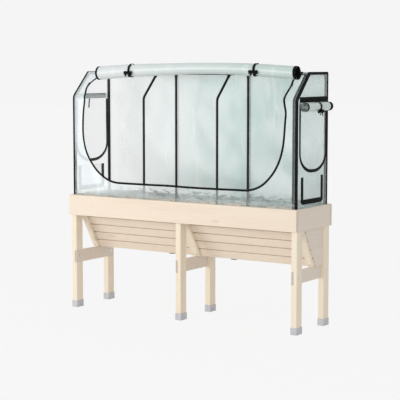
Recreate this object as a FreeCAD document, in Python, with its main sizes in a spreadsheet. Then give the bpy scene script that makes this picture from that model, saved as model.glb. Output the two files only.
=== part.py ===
import FreeCAD, Part
import os
import re
import Sketcher

# Raised wooden planter: a V-shaped slatted trough on three leg frames, under a removable greenhouse
# cover of clear film on four tube hoops, with its front door and its right end window rolled up.
# Millimetres. +X along the length, the open front faces -Y, +Z up. The pieces are drawn about the middle of
# the planter, then set so that the origin lies on the floor under the middle of the whole box.

DIMENSIONS = (
    ("planter_length", 1800, "apron, outside length"),
    ("planter_depth", 470, "apron, outside depth"),
    ("rim_height", 790, "floor to the top of the apron"),
    ("apron_height", 140, "apron boards, height"),
    ("apron_thick", 30, "front and back apron boards"),
    ("end_board_thick", 16, "end apron boards, set between the long ones"),
    ("leg_width", 40, "leg, along the length"),
    ("leg_depth", 68, "leg, front to back"),
    ("leg_end_inset", 6, "end of the apron to the end legs' outer faces"),
    ("leg_face_inset", 22, "face of the apron to the legs' front or back faces"),
    ("cap_height", 46, "foot cap, height"),
    ("cap_wall", 2, "foot cap, wall"),
    ("cap_base", 5, "foot cap, base under the leg"),
    ("cap_fit", 0.2, "foot cap, room round the leg"),
    ("rail_thick", 18, "cross rail, thickness and depth of its housing"),
    ("rail_height", 85, "cross rail, height"),
    ("rail_bottom", 315, "floor to the underside of the cross rails"),
    ("bolt_diameter", 8, "rail bolt, shank"),
    ("bolt_fit", 0.2, "rail bolt, room in its hole"),
    ("bolt_head_diameter", 17, "rail bolt, head and nut"),
    ("bolt_head_height", 4, "rail bolt, head and nut"),
    ("ledge_drop", 100, "rim down to the leg tops"),
    ("ledge_thick", 14, "ledge boards on the leg tops"),
    ("front_ledge_width", 83.5, "front apron board to the slats' line at the leg tops"),
    ("slat_thick", 14, "slats"),
    ("slat_gap", 7, "gap between two slats"),
    ("batten_width", 42, "end battens"),
    ("centre_batten_width", 60, "centre batten, across both bays"),
    ("batten_thick", 20, "slat battens"),
    ("batten_room", 4, "legs to the tops of the battens"),
    ("end_panel_thick", 18, "end panels"),
    ("floor_width", 78, "trough floor, front to back"),
    ("floor_thick", 14, "trough floor"),
    ("wood_gap", 0.3, "room between neighbouring boards"),
    ("edge_break", 1.5, "planed boards, chamfer on their edges"),
    ("liner_thick", 2, "trough liner"),
    ("liner_gap", 0.3, "liner to the boards round it"),
    ("drain_place", 250, "drain outlets, from the middle"),
    ("drain_diameter", 24, "drain outlet, tube"),
    ("drain_bore", 18, "drain outlet, bore"),
    ("drain_flange", 54, "drain outlet, flange"),
    ("drain_flange_thick", 8, "drain outlet, flange"),
    ("drain_drop", 11, "drain outlet, reach below the floor"),
    ("drain_fit", 0.2, "drain outlet, room in the floor"),
    ("screw_diameter", 4, "wood screw, shank"),
    ("screw_head_diameter", 9, "wood screw, head"),
    ("screw_head_height", 2.5, "wood screw, head"),
    ("screw_bite", 10, "wood screw, length in the second piece"),
    ("screw_fit", 0.1, "wood screw, room in its hole"),
    ("pole_diameter", 16, "hoop tubes"),
    ("pole_wall", 1.2, "hoop tubes, wall"),
    ("pole_fit", 0.05, "hoop tube in a socket or sleeve, radial room"),
    ("bow_radius", 45, "front bow, bend at the shoulder, on the tube's middle"),
    ("socket_wall", 3, "pole socket, wall"),
    ("socket_height", 45, "pole socket, height"),
    ("socket_base", 4, "pole socket, bottom"),
    ("socket_foot_length", 40, "pole socket, screw foot from the pole's middle"),
    ("socket_foot_thick", 3, "pole socket, screw foot"),
    ("sleeve_wall", 2.1, "roof connector, wall of a sleeve"),
    ("sleeve_length", 32, "roof connector, middle to the mouth of a sleeve"),
    ("sleeve_stop", 10, "roof connector, middle to the end of a tube"),
    ("film_thick", 0.8, "cover film"),
    ("film_ease", 0.35, "roof connector to the film"),
    ("hem_clearance", 0.9, "end apron board to the cover's piping"),
    ("film_gap_face", 3, "front or back apron board to the cover"),
    ("hem_gap", 3, "tops of the pole sockets up to the cover's hem"),
    ("shoulder_rise", 681, "rim up to the cover's front shoulder"),
    ("roof_rise", 167, "cover's front shoulder up to its roof"),
    ("slope_run", 162, "cover front to the roof's front edge, level"),
    ("door_margin", 81.5, "end of the cover to the front door's zip"),
    ("door_sill", 97, "rim up to the bottom of the front door"),
    ("door_corner", 300, "front door, radius of its lower corners"),
    ("door_head", 14, "roof down to the top of the front door"),
    ("tape_width", 12, "front door's zip tape"),
    ("window_tape_width", 18, "end window's zip tape"),
    ("tape_thick", 1.2, "zip tape and band"),
    ("piping_width", 13, "black piping round the ends"),
    ("piping_thick", 1.6, "black piping round the ends"),
    ("window_front_margin", 16, "front piping to the end window's zip tape"),
    ("window_back_margin", 2, "back piping to the end window's zip tape"),
    ("window_gap", 33, "top of the vent flap up to the end window"),
    ("band_drop", 21, "cover's front shoulder down to the underside of the band"),
    ("window_corner", 140, "end window, radius of its lower corners"),
    ("band_height", 35, "black band over the end window"),
    ("vent_front_margin", 54, "front of the cover to the vent flap"),
    ("vent_back_margin", 60, "back of the cover to the vent flap"),
    ("vent_sill", 23, "rim up to the bottom of the vent flap"),
    ("vent_height", 172, "vent flap, height"),
    ("vent_border", 28, "vent flap, overlap round its screen"),
    ("flap_thick", 1.5, "vent flap"),
    ("soft_gap", 0.3, "room between soft pieces that lie on each other"),
    ("roll_diameter", 92, "rolled front door"),
    ("roll_wall", 9, "rolled films, thickness of their wound layers"),
    ("roll_left_short", 75, "rolled front door, left end inside the zip"),
    ("roll_right_over", 31, "rolled front door, right end past the zip"),
    ("roll_arch", 22, "rolled front door, rise of its middle"),
    ("roll_place", 184, "rolled front door, shoulder to its seat along the slope"),
    ("tie_left_inset", 281, "rolled front door, left end to its tie"),
    ("tie_right_inset", 297, "rolled front door, right end to its tie"),
    ("tie_width", 14, "ties"),
    ("tie_thick", 1.5, "ties"),
    ("loose_tie_length", 65, "left window's tie, hanging loose from the band"),
    ("loose_tie_forward", 27, "left window's tie, from the window's middle to the front"),
    ("bow_knot_diameter", 18, "knot of a tie's bow"),
    ("bow_knot_length", 12, "knot of a tie's bow"),
    ("bow_loop_length", 30, "loop of a tie's bow, from the knot's middle"),
    ("bow_loop_neck", 5, "loop of a tie's bow, at the knot"),
    ("bow_loop_mouth", 19, "loop of a tie's bow, at its end"),
    ("front_knot_angle", 15, "front tie's knot, degrees below the roll's front"),
    ("window_knot_angle", 50, "window tie's knot, degrees below the roll's outer side"),
    ("flap_roll_diameter", 60, "rolled window flap"),
    ("flap_roll_over", 3, "rolled window flap, reach past the zip at each end"),
    ("flap_roll_drop", 26, "underside of the band to the window roll's middle"),
    ("slider_width", 12, "zip slider"),
    ("slider_length", 22, "zip slider"),
    ("slider_thick", 5, "zip slider"),
    ("slider_place", 104, "zip slider, shoulder to its lower end along the slope"),
    ("bridge_width", 4, "zip slider, bridge that holds the pull"),
    ("bridge_length", 8, "zip slider, bridge"),
    ("bridge_height", 3, "zip slider, bridge"),
    ("pull_width", 8, "zip pull"),
    ("pull_length", 30, "zip pull"),
    ("pull_thick", 1.6, "zip pull"),
    ("pull_gap", 0.6, "zip pull, room below the bridge for it to turn"),
    ("box_offset", 24.42, "middle of the planter to the middle of the whole box, which the roll widens"),
)
SLATS = 5
# A block's edges that run along Z, by number
UPRIGHT_EDGES = (1, 3, 5, 7)
# Each hoop and its share of the way from the middle to the end
HOOPS = (("left_end", "-1"), ("left_middle", "-1 / 3"), ("right_middle", "1 / 3"), ("right_end", "1"))
SIDES = (("left", -1), ("right", 1))
FACES = (("front", -1), ("back", 1))

doc = FreeCAD.newDocument("raised_planter")
sheet = doc.addObject("Spreadsheet::Sheet", "dims")
for row, (alias, number, note) in enumerate(DIMENSIONS, start=1):
    sheet.set(f"A{row}", note)
    sheet.set(f"B{row}", str(number))
    sheet.setAlias(f"B{row}", alias)
doc.recompute()
ALIASES = {alias for alias, number, note in DIMENSIONS}
nodes = []

# Places that several pieces share, as expressions in the sheet's words
end_x = "(planter_length / 2)"
face_y = "(planter_depth / 2)"
end_inner_x = "(planter_length / 2 - end_board_thick)"
apron_inner_y = "(planter_depth / 2 - apron_thick)"
apron_bottom = "(rim_height - apron_height)"
leg_outer_x = "(planter_length / 2 - leg_end_inset)"
leg_inner_x = f"({leg_outer_x} - leg_width)"
leg_face_y = "(planter_depth / 2 - leg_face_inset)"
leg_rear_y = f"({leg_face_y} - leg_depth)"
leg_top = "(rim_height - ledge_drop)"
ledge_top = f"({leg_top} + ledge_thick)"
rail_top = "(rail_bottom + rail_height)"
bolt_z = "(rail_bottom + rail_height / 2)"
panel_inner_x = f"({end_inner_x} - end_panel_thick)"
back_slat_y = f"({leg_rear_y} - slat_thick)"
centre_joint_x = "(rail_thick / 2 - leg_width / 2)"
# Front slats: their lean from upright, the lower outer edge, and the length of the slope up to the ledge
slat_foot_y = f"({back_slat_y} - floor_width - wood_gap)"
slat_run = f"({slat_foot_y} + {apron_inner_y} - front_ledge_width)"
slope_angle = f"atan({slat_run} / ({leg_top} - {rail_top}))"
slope_y = f"({slat_foot_y} - slat_thick * cos({slope_angle}))"
slope_height = f"({leg_top} - wood_gap - {rail_top} - slat_thick * sin({slope_angle}))"
slope_length = f"({slope_height} / cos({slope_angle}))"
slat_width = f"(({slope_length} - {SLATS - 1} * slat_gap) / {SLATS})"
slat_pitch = f"({slat_width} + slat_gap)"
batten_y = f"({slope_y} - batten_thick / cos({slope_angle}))"
batten_top_y = f"(batten_room - {leg_rear_y})"
slat_end_x = f"({end_inner_x} - wood_gap)"
floor_top = f"({rail_top} + floor_thick)"
drain_y = f"({back_slat_y} - floor_width / 2)"
# Cover and hoops: faces of the film, the roof's slope, and the middle lines of the tubes
film_x = f"({end_inner_x} - hem_clearance - piping_thick)"
film_inner_x = f"({film_x} - film_thick)"
film_y = f"({apron_inner_y} - film_gap_face)"
hem_z = f"({ledge_top} + socket_height + hem_gap)"
shoulder_z = "(rim_height + shoulder_rise)"
roof_z = f"({shoulder_z} + roof_rise)"
slope_span = "sqrt(slope_run ^ 2 + roof_rise ^ 2)"
slope_tilt = "atan(slope_run / roof_rise)"
sleeve_radius = "(pole_diameter / 2 + pole_fit + sleeve_wall)"
tube_depth = f"(film_thick + film_ease + {sleeve_radius})"
pole_x = f"({film_x} - {tube_depth})"
pole_y = f"({film_y} - {tube_depth})"
pole_bottom = f"({ledge_top} + socket_base)"
roof_tube_z = f"({roof_z} - {tube_depth})"
# Openings in the cover: the front door, and the vent, window and band of each end
door_half = f"({film_x} - door_margin)"
door_bottom = "(rim_height + door_sill)"
door_top = f"({roof_z} - door_head)"
vent_bottom = "(rim_height + vent_sill)"
vent_half = f"({film_y} - (vent_front_margin + vent_back_margin) / 2)"
vent_middle = "((vent_front_margin - vent_back_margin) / 2)"
window_bottom = f"({vent_bottom} + vent_height + window_gap)"
window_reach = f"({film_y} - piping_width - window_tape_width / 2)"
window_half = f"({window_reach} - (window_front_margin + window_back_margin) / 2)"
window_middle = "((window_front_margin - window_back_margin) / 2)"
band_bottom = f"({shoulder_z} - band_drop)"


def words(text):
    """The expression with each dimension's name pointed at the sheet."""
    def point(match):
        return f"dims.{match[0]}" if match[0] in ALIASES else match[0]

    return re.sub(r"[a-z_]+", point, text)


def number_of(text):
    """What an expression comes to now, as a plain number."""
    result = sheet.evalExpression(words(text))
    return float(getattr(result, "Value", result))


def bind(thing, prop, text):
    """Tie one property of an object to an expression in the sheet's words."""
    thing.setExpression(prop, words(text))


def put(thing, base, axis=None, angle="0"):
    """Place an object: its base point, and a turn about an axis by an angle, all as expressions."""
    if axis is not None:
        start = number_of(angle) or 1.0
        turn = FreeCAD.Rotation(FreeCAD.Vector(*axis), start)
        thing.Placement = FreeCAD.Placement(FreeCAD.Vector(), turn)
        bind(thing, "Placement.Rotation.Angle", angle)
    for letter, text in zip("xyz", base):
        bind(thing, f"Placement.Base.{letter}", text)
    return thing


def block(name, low, size, axis=None, angle="0"):
    """A square-edged block with its low corner and its size along X, Y and Z."""
    box = doc.addObject("Part::Box", name)
    for prop, text in zip(("Length", "Width", "Height"), size):
        bind(box, prop, text)
    return put(box, low, axis, angle)


def board(name, low, size, axis=None, angle="0", edges=range(1, 13)):
    """A block of planed timber with its sharp edges broken."""
    raw = block(name + "_sawn", low, size, axis, angle)
    eased = doc.addObject("Part::Chamfer", name)
    eased.Base = raw
    edge_break = number_of("edge_break")
    eased.Edges = [(edge, edge_break, edge_break) for edge in edges]
    return eased


def rod(name, radius, length, base, axis=None, angle="0"):
    """A round bar that rises from its base, then leans by the turn that is given."""
    bar = doc.addObject("Part::Cylinder", name)
    bind(bar, "Radius", radius)
    bind(bar, "Height", length)
    return put(bar, base, axis, angle)


def fuse(name, shapes):
    """One solid from several."""
    joined = doc.addObject("Part::MultiFuse", name)
    joined.Shapes = shapes
    return joined


def cut(name, base, tool):
    """The base with the tool taken out of it."""
    result = doc.addObject("Part::Cut", name)
    result.Base = base
    result.Tool = tool
    return result


def common(name, base, tool):
    """What the base and the tool share."""
    result = doc.addObject("Part::Common", name)
    result.Base = base
    result.Tool = tool
    return result


def group(name, shapes):
    """Several separate solids under one name."""
    together = doc.addObject("Part::Compound", name)
    together.Links = shapes
    return together


def node(label, thing):
    """Name a finished sub-part and set it about the middle of the whole box."""
    placed = group(label + "_placed", [thing])
    bind(placed, "Placement.Base.x", "-box_offset")
    placed.Label = label
    nodes.append(placed)


def mirror_x(sign, text):
    """An X place on the left or the right."""
    return f"({sign} * {text})"


def low_corner(sign, near, far):
    """The lower of two places that lie at near and far on the side that sign gives."""
    return f"({near})" if sign > 0 else f"(-({far}))"


def plate(name, outline, low_x, thick):
    """A flat piece across X: an outline of (y, z) places, padded from low_x by its thickness."""
    body = doc.addObject("PartDesign::Body", name)
    sketch = body.newObject("Sketcher::SketchObject", name + "_outline")
    plane = [feature for feature in body.Origin.OriginFeatures if feature.Role == "YZ_Plane"][0]
    sketch.AttachmentSupport = (plane, [""])
    sketch.MapMode = "FlatFace"
    corners = [FreeCAD.Vector(number_of(y), number_of(z), 0) for y, z in outline]
    count = len(corners)
    for index in range(count):
        sketch.addGeometry(Part.LineSegment(corners[index], corners[(index + 1) % count]))
    for index in range(count):
        sketch.addConstraint(Sketcher.Constraint("Coincident", index, 2, (index + 1) % count, 1))
    for index, (y, z) in enumerate(outline):
        for kind, text, value in (("DistanceX", y, corners[index].x), ("DistanceY", z, corners[index].y)):
            number = sketch.addConstraint(Sketcher.Constraint(kind, -1, 1, index, 1, value))
            sketch.setExpression(f"Constraints[{number}]", words(text))
    pad = body.newObject("PartDesign::Pad", name + "_pad")
    pad.Profile = sketch
    bind(pad, "Length", thick)
    bind(body, "Placement.Base.x", low_x)
    return body


def pipe(name, length, base, axis=None, angle="0"):
    """A straight hoop tube with its bore."""
    outer = rod(name + "_outside", "pole_diameter / 2", length, base, axis, angle)
    bore = rod(name + "_bore", "(pole_diameter / 2 - pole_wall)", length, base, axis, angle)
    return cut(name, outer, bore)


def arch(name, half, bottom, top, corner, base, depth, turn=0):
    """A D-shaped prism, square above, with two round corners below, along +Y, then turned about Z."""
    across = f"({half} - {corner})"
    middle_z = f"({bottom} + {corner})"
    shapes = [
        block(name + "_upper", (f"-({half})", "0", middle_z),
              (f"2 * ({half})", depth, f"{top} - {middle_z}")),
        block(name + "_lower", (f"-{across}", "0", bottom), (f"2 * {across}", depth, f"({corner})")),
    ]
    for side, sign in SIDES:
        place = (mirror_x(sign, across), "0", middle_z)
        shapes.append(rod(f"{name}_{side}_corner", corner, depth, place, (1, 0, 0), "-90"))
    prism = fuse(name, shapes)
    if turn:
        return put(prism, base, (0, 0, 1), str(turn))
    return put(prism, base)


def apron():
    """Two long boards, and two end boards set between them and flush with their ends."""
    for face, sign in FACES:
        low = (f"-{end_x}", low_corner(sign, apron_inner_y, face_y), apron_bottom)
        size = ("planter_length", "apron_thick", "apron_height")
        node(f"{face}_apron_board", board(f"{face}_apron", low, size))
    for side, sign in SIDES:
        low = (low_corner(sign, end_inner_x, end_x), f"-{apron_inner_y}", apron_bottom)
        size = ("end_board_thick", f"2 * {apron_inner_y}", "apron_height")
        node(f"{side}_apron_board", board(f"{side}_apron", low, size))


def leg_frames():
    """Six legs with shouldered tops, three rails housed in them, the rail bolts and the foot caps."""
    frames = {
        "left": (f"(-{leg_outer_x})", f"(-{end_inner_x})", f"({end_inner_x} - {leg_inner_x})",
                 f"(-{leg_inner_x} - rail_thick)"),
        "centre": ("(-leg_width / 2)", "(-leg_width / 2)", "leg_width", "(-leg_width / 2)"),
        "right": (leg_inner_x, leg_inner_x, f"({end_inner_x} - {leg_inner_x})", leg_inner_x),
    }
    caps = []
    bolts = []
    for frame, (leg_x, top_x, top_width, rail_x) in frames.items():
        holes = []
        for face, sign in FACES:
            leg_y = low_corner(sign, leg_rear_y, leg_face_y)
            name = f"{face}_{frame}"
            post_size = ("leg_width", "leg_depth", f"{apron_bottom} - cap_base")
            post = board(name + "_post", (leg_x, leg_y, "cap_base"), post_size, edges=UPRIGHT_EDGES)
            top_y = low_corner(sign, leg_rear_y, apron_inner_y)
            top_size = (top_width, f"{apron_inner_y} - {leg_rear_y}", f"{leg_top} - {apron_bottom}")
            top = block(name + "_top", (top_x, top_y, apron_bottom), top_size)
            housing = block(name + "_housing", (rail_x, leg_y, "rail_bottom"),
                            ("rail_thick", "leg_depth", "rail_height"))
            middle_y = f"({sign} * ({leg_face_y} + {leg_rear_y}) / 2)"
            hole = rod(name + "_hole", "(bolt_diameter / 2 + bolt_fit)", "leg_width",
                       (leg_x, middle_y, bolt_z), (0, 1, 0), "90")
            holes.append(hole)
            stock = fuse(name + "_stock", [post, top])
            leg = cut(name + "_drilled", stock, fuse(name + "_cuts", [housing, hole]))
            node(f"{name}_leg", leg)
            caps.append(foot_cap(name, leg_x, leg_y))
            bolts.append(rail_bolt(name, leg_x, middle_y))
        rail = board(frame + "_rail", (rail_x, f"-{leg_face_y}", "rail_bottom"),
                     ("rail_thick", f"2 * {leg_face_y}", "rail_height"))
        node(f"{frame}_cross_rail", cut(frame + "_rail_drilled", rail, group(frame + "_rail_holes", holes)))
    node("foot_caps", group("caps", caps))
    node("rail_bolts", group("bolts", bolts))


def foot_cap(name, leg_x, leg_y):
    """A moulded cup under one leg."""
    rim = "(cap_wall + cap_fit)"
    outer = block(name + "_cap_outside", (f"{leg_x} - {rim}", f"{leg_y} - {rim}", "0"),
                  (f"leg_width + 2 * {rim}", f"leg_depth + 2 * {rim}", "cap_height"))
    inner = block(name + "_cap_inside", (f"{leg_x} - cap_fit", f"{leg_y} - cap_fit", "cap_base"),
                  ("leg_width + 2 * cap_fit", "leg_depth + 2 * cap_fit", "cap_height"))
    return cut(name + "_cap", outer, inner)


def rail_bolt(name, leg_x, middle_y):
    """A bolt across one leg and its rail, with a round head and a round nut on the two faces."""
    along = ((0, 1, 0), "90")
    shank = rod(name + "_shank", "bolt_diameter / 2", "leg_width", (leg_x, middle_y, bolt_z), *along)
    head = rod(name + "_head", "bolt_head_diameter / 2", "bolt_head_height",
               (f"{leg_x} + leg_width", middle_y, bolt_z), *along)
    nut = rod(name + "_nut", "bolt_head_diameter / 2", "bolt_head_height",
              (f"{leg_x} - bolt_head_height", middle_y, bolt_z), *along)
    return fuse(name + "_bolt", [shank, head, nut])


def on_slope(along, out):
    """The (y, z) place at a length up the slats' outer face and a height off that face."""
    y = f"({slope_y} - {along} * sin({slope_angle}) - {out} * cos({slope_angle}))"
    z = f"({rail_top} + {along} * cos({slope_angle}) - {out} * sin({slope_angle}))"
    return y, z


def bay_spans(outer_x):
    """The low X place and the length of the boards of each bay, whose outer ends lie at outer_x."""
    return {
        "left": (f"(-{outer_x})", f"({outer_x} + {centre_joint_x} - wood_gap)"),
        "right": (f"({centre_joint_x} + wood_gap)", f"({outer_x} - {centre_joint_x} - wood_gap)"),
    }


def trough(screws):
    """Front slats on their battens, back slats, end panels, floor, ledges, liner and drain outlets."""
    lean = ((1, 0, 0), slope_angle)
    battens = {
        "left": (f"(-{slat_end_x})", "batten_width", [f"(batten_width / 2 - {slat_end_x})"]),
        "centre": (f"({centre_joint_x} - centre_batten_width / 2)", "centre_batten_width",
                   [f"({centre_joint_x} - centre_batten_width / 4)",
                    f"({centre_joint_x} + centre_batten_width / 4)"]),
        "right": (f"({slat_end_x} - batten_width)", "batten_width", [f"({slat_end_x} - batten_width / 2)"]),
    }
    batten_length = f"(({batten_y} - {batten_top_y}) / sin({slope_angle}))"
    strips = []
    holes = []
    for name, (low_x, width, columns) in battens.items():
        strips.append(board(f"{name}_batten", (low_x, batten_y, rail_top),
                            (width, "batten_thick", batten_length), *lean))
        for column, screw_x in enumerate(columns):
            for slat in range(SLATS):
                label = f"{name}_batten_screw_{column}_{slat}"
                y, z = on_slope(f"({slat} * {slat_pitch} + {slat_width} / 2)", "batten_thick")
                inward = ((1, 0, 0), f"({slope_angle} - 90 deg)")
                screw, hole = wood_screw(label, (screw_x, y, z), "batten_thick",
                                         *on_slope_lift(y, z), *inward)
                screws.append(screw)
                holes.append(hole)
    screw_holes = group("batten_screw_holes", holes)
    node("slat_battens", cut("battens_drilled", group("battens", strips), screw_holes))
    back = []
    floors = []
    back_width = f"(({leg_top} - {rail_top} - {SLATS - 1} * slat_gap - wood_gap) / {SLATS})"
    front_spans = bay_spans(slat_end_x)
    for bay, (low_x, length) in bay_spans(panel_inner_x).items():
        slats = []
        slat_x, slat_length = front_spans[bay]
        for slat in range(SLATS):
            y, z = on_slope(f"({slat} * {slat_pitch})", "0")
            slats.append(board(f"{bay}_slat_{slat}", (slat_x, y, z),
                               (slat_length, "slat_thick", slat_width), *lean))
            back_z = f"({rail_top} + {slat} * ({back_width} + slat_gap))"
            back.append(board(f"{bay}_back_{slat}", (low_x, back_slat_y, back_z),
                              (length, "slat_thick", back_width)))
        node(f"{bay}_front_slats", cut(f"{bay}_slats_drilled", group(f"{bay}_slats", slats), screw_holes))
        floor_low = (low_x, f"({back_slat_y} - floor_width)", rail_top)
        floors.append(block(f"{bay}_floor", floor_low, (length, "floor_width", "floor_thick")))
    node("back_slats", group("back_boards", back))
    drains(floors)
    for side, sign in SIDES:
        outline = [(inner_slope_y(rail_top, "wood_gap"), rail_top), (leg_rear_y, rail_top),
                   (leg_rear_y, leg_top), (inner_slope_y(leg_top, "wood_gap"), leg_top)]
        low_x = low_corner(sign, panel_inner_x, end_inner_x)
        node(f"{side}_end_panel", plate(f"{side}_panel", outline, low_x, "end_panel_thick"))
    liner()


def on_slope_lift(y, z):
    """Where a screw's head starts, off the batten's outer face."""
    lift_y = f"({y} - screw_head_height * cos({slope_angle}))"
    lift_z = f"({z} - screw_head_height * sin({slope_angle}))"
    return lift_y, lift_z


def wood_screw(name, seat, first_piece, head_y, head_z, axis, angle):
    """A pan-head screw through the first piece and into the second, and the tool that drills its hole."""
    length = f"({first_piece} + screw_bite)"
    shank = rod(name + "_shank", "screw_diameter / 2", length, seat, axis, angle)
    head = rod(name + "_head", "screw_head_diameter / 2", "screw_head_height",
               (seat[0], head_y, head_z), axis, angle)
    hole = rod(name + "_hole", "(screw_diameter / 2 + screw_fit)", f"({length} + screw_fit)",
               seat, axis, angle)
    return fuse(name, [shank, head]), hole


def drains(floors):
    """Two flanged drain outlets, each through one floor board."""
    outlets = []
    holes = []
    for side, sign in SIDES:
        place = (mirror_x(sign, "drain_place"), drain_y)
        low = f"({rail_top} - drain_drop)"
        reach = "(drain_drop + floor_thick)"
        tube = rod(f"{side}_drain_tube", "drain_diameter / 2", reach, (*place, low))
        flange_z = f"({rail_top} - drain_flange_thick)"
        flange = rod(f"{side}_drain_flange", "drain_flange / 2", "drain_flange_thick", (*place, flange_z))
        bore = rod(f"{side}_drain_bore", "drain_bore / 2", reach, (*place, low))
        outlets.append(cut(f"{side}_drain", fuse(f"{side}_drain_solid", [tube, flange]), bore))
        holes.append(rod(f"{side}_drain_hole", "(drain_diameter / 2 + drain_fit)", "floor_thick",
                         (*place, rail_top)))
    node("drain_outlets", group("drains", outlets))
    node("floor_boards", cut("floor_drilled", group("floor", floors), group("drain_holes", holes)))


def inner_slope_y(z, inset):
    """Y of the slats' inner face at a height, moved inwards by an inset square to the slope."""
    across = f"(slat_thick + {inset}) / cos({slope_angle})"
    return f"({slope_y} + {across} - ({z} - {rail_top}) * tan({slope_angle}))"


def liner():
    """The cloth trough inside the boards: its outside less its inside and the two drain holes."""
    shells = []
    inner = ("inside", "(liner_gap + liner_thick)", f"({ledge_top} + liner_thick)")
    for name, inset, top in (("outside", "liner_gap", ledge_top), inner):
        low_z = f"({floor_top} + {inset})"
        rear = f"({back_slat_y} - {inset})"
        outline = [(inner_slope_y(low_z, inset), low_z), (rear, low_z),
                   (rear, top), (inner_slope_y(top, inset), top)]
        reach = f"({panel_inner_x} - {inset})"
        shells.append(plate(f"liner_{name}", outline, f"-{reach}", f"2 * {reach}"))
    holes = []
    for side, sign in SIDES:
        place = (mirror_x(sign, "drain_place"), drain_y, floor_top)
        holes.append(rod(f"{side}_liner_hole", "drain_bore / 2", "2 * (liner_gap + liner_thick)", place))
    node("trough_liner", cut("liner_drained", cut("liner", *shells), group("liner_holes", holes)))


def ledges_and_sockets(screws):
    """Boards on the leg tops inside the rim, and the eight screwed cups that the hoops stand in."""
    inner_edge = {"front": inner_slope_y(ledge_top, "0"), "back": back_slat_y}
    sockets = []
    for face, sign in FACES:
        holes = []
        for hoop, share in HOOPS:
            name = f"{face}_{hoop}_socket"
            x = f"({share} * {pole_x})"
            y = f"({sign} * {pole_y})"
            outer = "(pole_diameter / 2 + pole_fit + socket_wall)"
            cup = rod(name + "_cup", outer, "socket_height", (x, y, ledge_top))
            foot_low = y if sign < 0 else f"({y} - socket_foot_length)"
            foot = block(name + "_foot", (f"{x} - {outer}", foot_low, ledge_top),
                         (f"2 * {outer}", "socket_foot_length", "socket_foot_thick"))
            well = rod(name + "_well", "(pole_diameter / 2 + pole_fit)", "socket_height",
                       (x, y, f"({ledge_top} + socket_base)"))
            screw_y = f"({y} - {sign} * (socket_foot_length + {outer}) / 2)"
            seat = (x, screw_y, f"({ledge_top} + socket_foot_thick)")
            head_z = f"({ledge_top} + socket_foot_thick + screw_head_height)"
            screw, hole = wood_screw(name + "_screw", seat, "socket_foot_thick", screw_y, head_z,
                                     (1, 0, 0), "180")
            screws.append(screw)
            holes.append(hole)
            solid = fuse(name + "_solid", [cup, foot])
            sockets.append(cut(name, solid, fuse(name + "_cuts", [well, hole])))
        low_y = f"(-{apron_inner_y})" if sign < 0 else inner_edge[face]
        depth = f"({apron_inner_y} - {sign} * {inner_edge[face]})"
        ledge = block(f"{face}_ledge", (f"-{end_inner_x}", low_y, leg_top),
                      (f"2 * {end_inner_x}", depth, "ledge_thick"))
        drilled = cut(f"{face}_ledge_drilled", ledge, group(f"{face}_ledge_holes", holes))
        node(f"{face}_ledge_board", drilled)
    node("pole_sockets", group("sockets", sockets))


def inset_shoulder_z(inset):
    """Height of the shoulder corner on a line that lies inside the cover's profile by an inset."""
    return f"({shoulder_z} + {inset} * (roof_rise - {slope_span}) / slope_run)"


def inset_roof_y(inset):
    """Y of the roof's front corner on a line that lies inside the cover's profile by an inset."""
    return f"(slope_run - {film_y} + {inset} * ({slope_span} - slope_run) / roof_rise)"


def bent_bar(name, radius, x):
    """Upright, shoulder bend and slope of a front bow, as a solid bar of one radius."""
    corner_z = inset_shoulder_z(tube_depth)
    reach = f"(bow_radius * tan({slope_tilt} / 2))"
    upright = rod(name + "_upright", radius, f"{corner_z} - {reach} - {pole_bottom}",
                  (x, f"-{pole_y}", pole_bottom))
    bend = doc.addObject("Part::Torus", name + "_bend")
    bind(bend, "Radius1", "bow_radius")
    bind(bend, "Radius2", radius)
    bind(bend, "Angle3", slope_tilt)
    turn = FreeCAD.Rotation(FreeCAD.Vector(0, -1, 0), FreeCAD.Vector(0, 0, 1),
                            FreeCAD.Vector(-1, 0, 0), "XYZ")
    bend.Placement = FreeCAD.Placement(FreeCAD.Vector(), turn)
    put(bend, (x, f"(bow_radius - {pole_y})", f"({corner_z} - {reach})"))
    start_y = f"({reach} * sin({slope_tilt}) - {pole_y})"
    start_z = f"({corner_z} + {reach} * cos({slope_tilt}))"
    length = f"(({roof_tube_z} - {corner_z}) / cos({slope_tilt}) - {reach} - sleeve_stop)"
    slope = rod(name + "_slope", radius, length, (x, start_y, start_z), (1, 0, 0), f"-{slope_tilt}")
    return fuse(name, [upright, bend, slope])


def hoops():
    """Four hoops of front bow, roof bar and back post, joined by top rails in moulded connectors."""
    front_y = inset_roof_y(tube_depth)
    roof_bars = []
    connectors = []
    for hoop, share in HOOPS:
        x = f"({share} * {pole_x})"
        bow = cut(f"{hoop}_bow_tube", bent_bar(f"{hoop}_bow_outside", "pole_diameter / 2", x),
                  bent_bar(f"{hoop}_bow_bore", "(pole_diameter / 2 - pole_wall)", x))
        node(f"{hoop}_bow", bow)
        post_length = f"({roof_tube_z} - sleeve_stop - {pole_bottom})"
        node(f"{hoop}_post", pipe(f"{hoop}_post_tube", post_length, (x, pole_y, pole_bottom)))
        bar_base = (x, f"({front_y} + sleeve_stop)", roof_tube_z)
        bar_length = f"({pole_y} - {front_y} - 2 * sleeve_stop)"
        roof_bars.append(pipe(f"{hoop}_roof_bar", bar_length, bar_base, (1, 0, 0), "-90"))
        for face, y in (("front", front_y), ("back", pole_y)):
            connectors.append(connector(f"{face}_{hoop}", face, hoop, (x, y, roof_tube_z)))
    node("roof_bars", group("bars", roof_bars))
    rails = []
    for face, y in (("front", front_y), ("back", pole_y)):
        for gap in range(len(HOOPS) - 1):
            base = (f"({HOOPS[gap][1]} * {pole_x} + sleeve_stop)", y, roof_tube_z)
            length = f"(({HOOPS[gap + 1][1]} - ({HOOPS[gap][1]})) * {pole_x} - 2 * sleeve_stop)"
            rails.append(pipe(f"{face}_rail_{gap}", length, base, (0, 1, 0), "90"))
    node("top_rails", group("rails", rails))
    node("roof_connectors", group("connectors", connectors))


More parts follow.
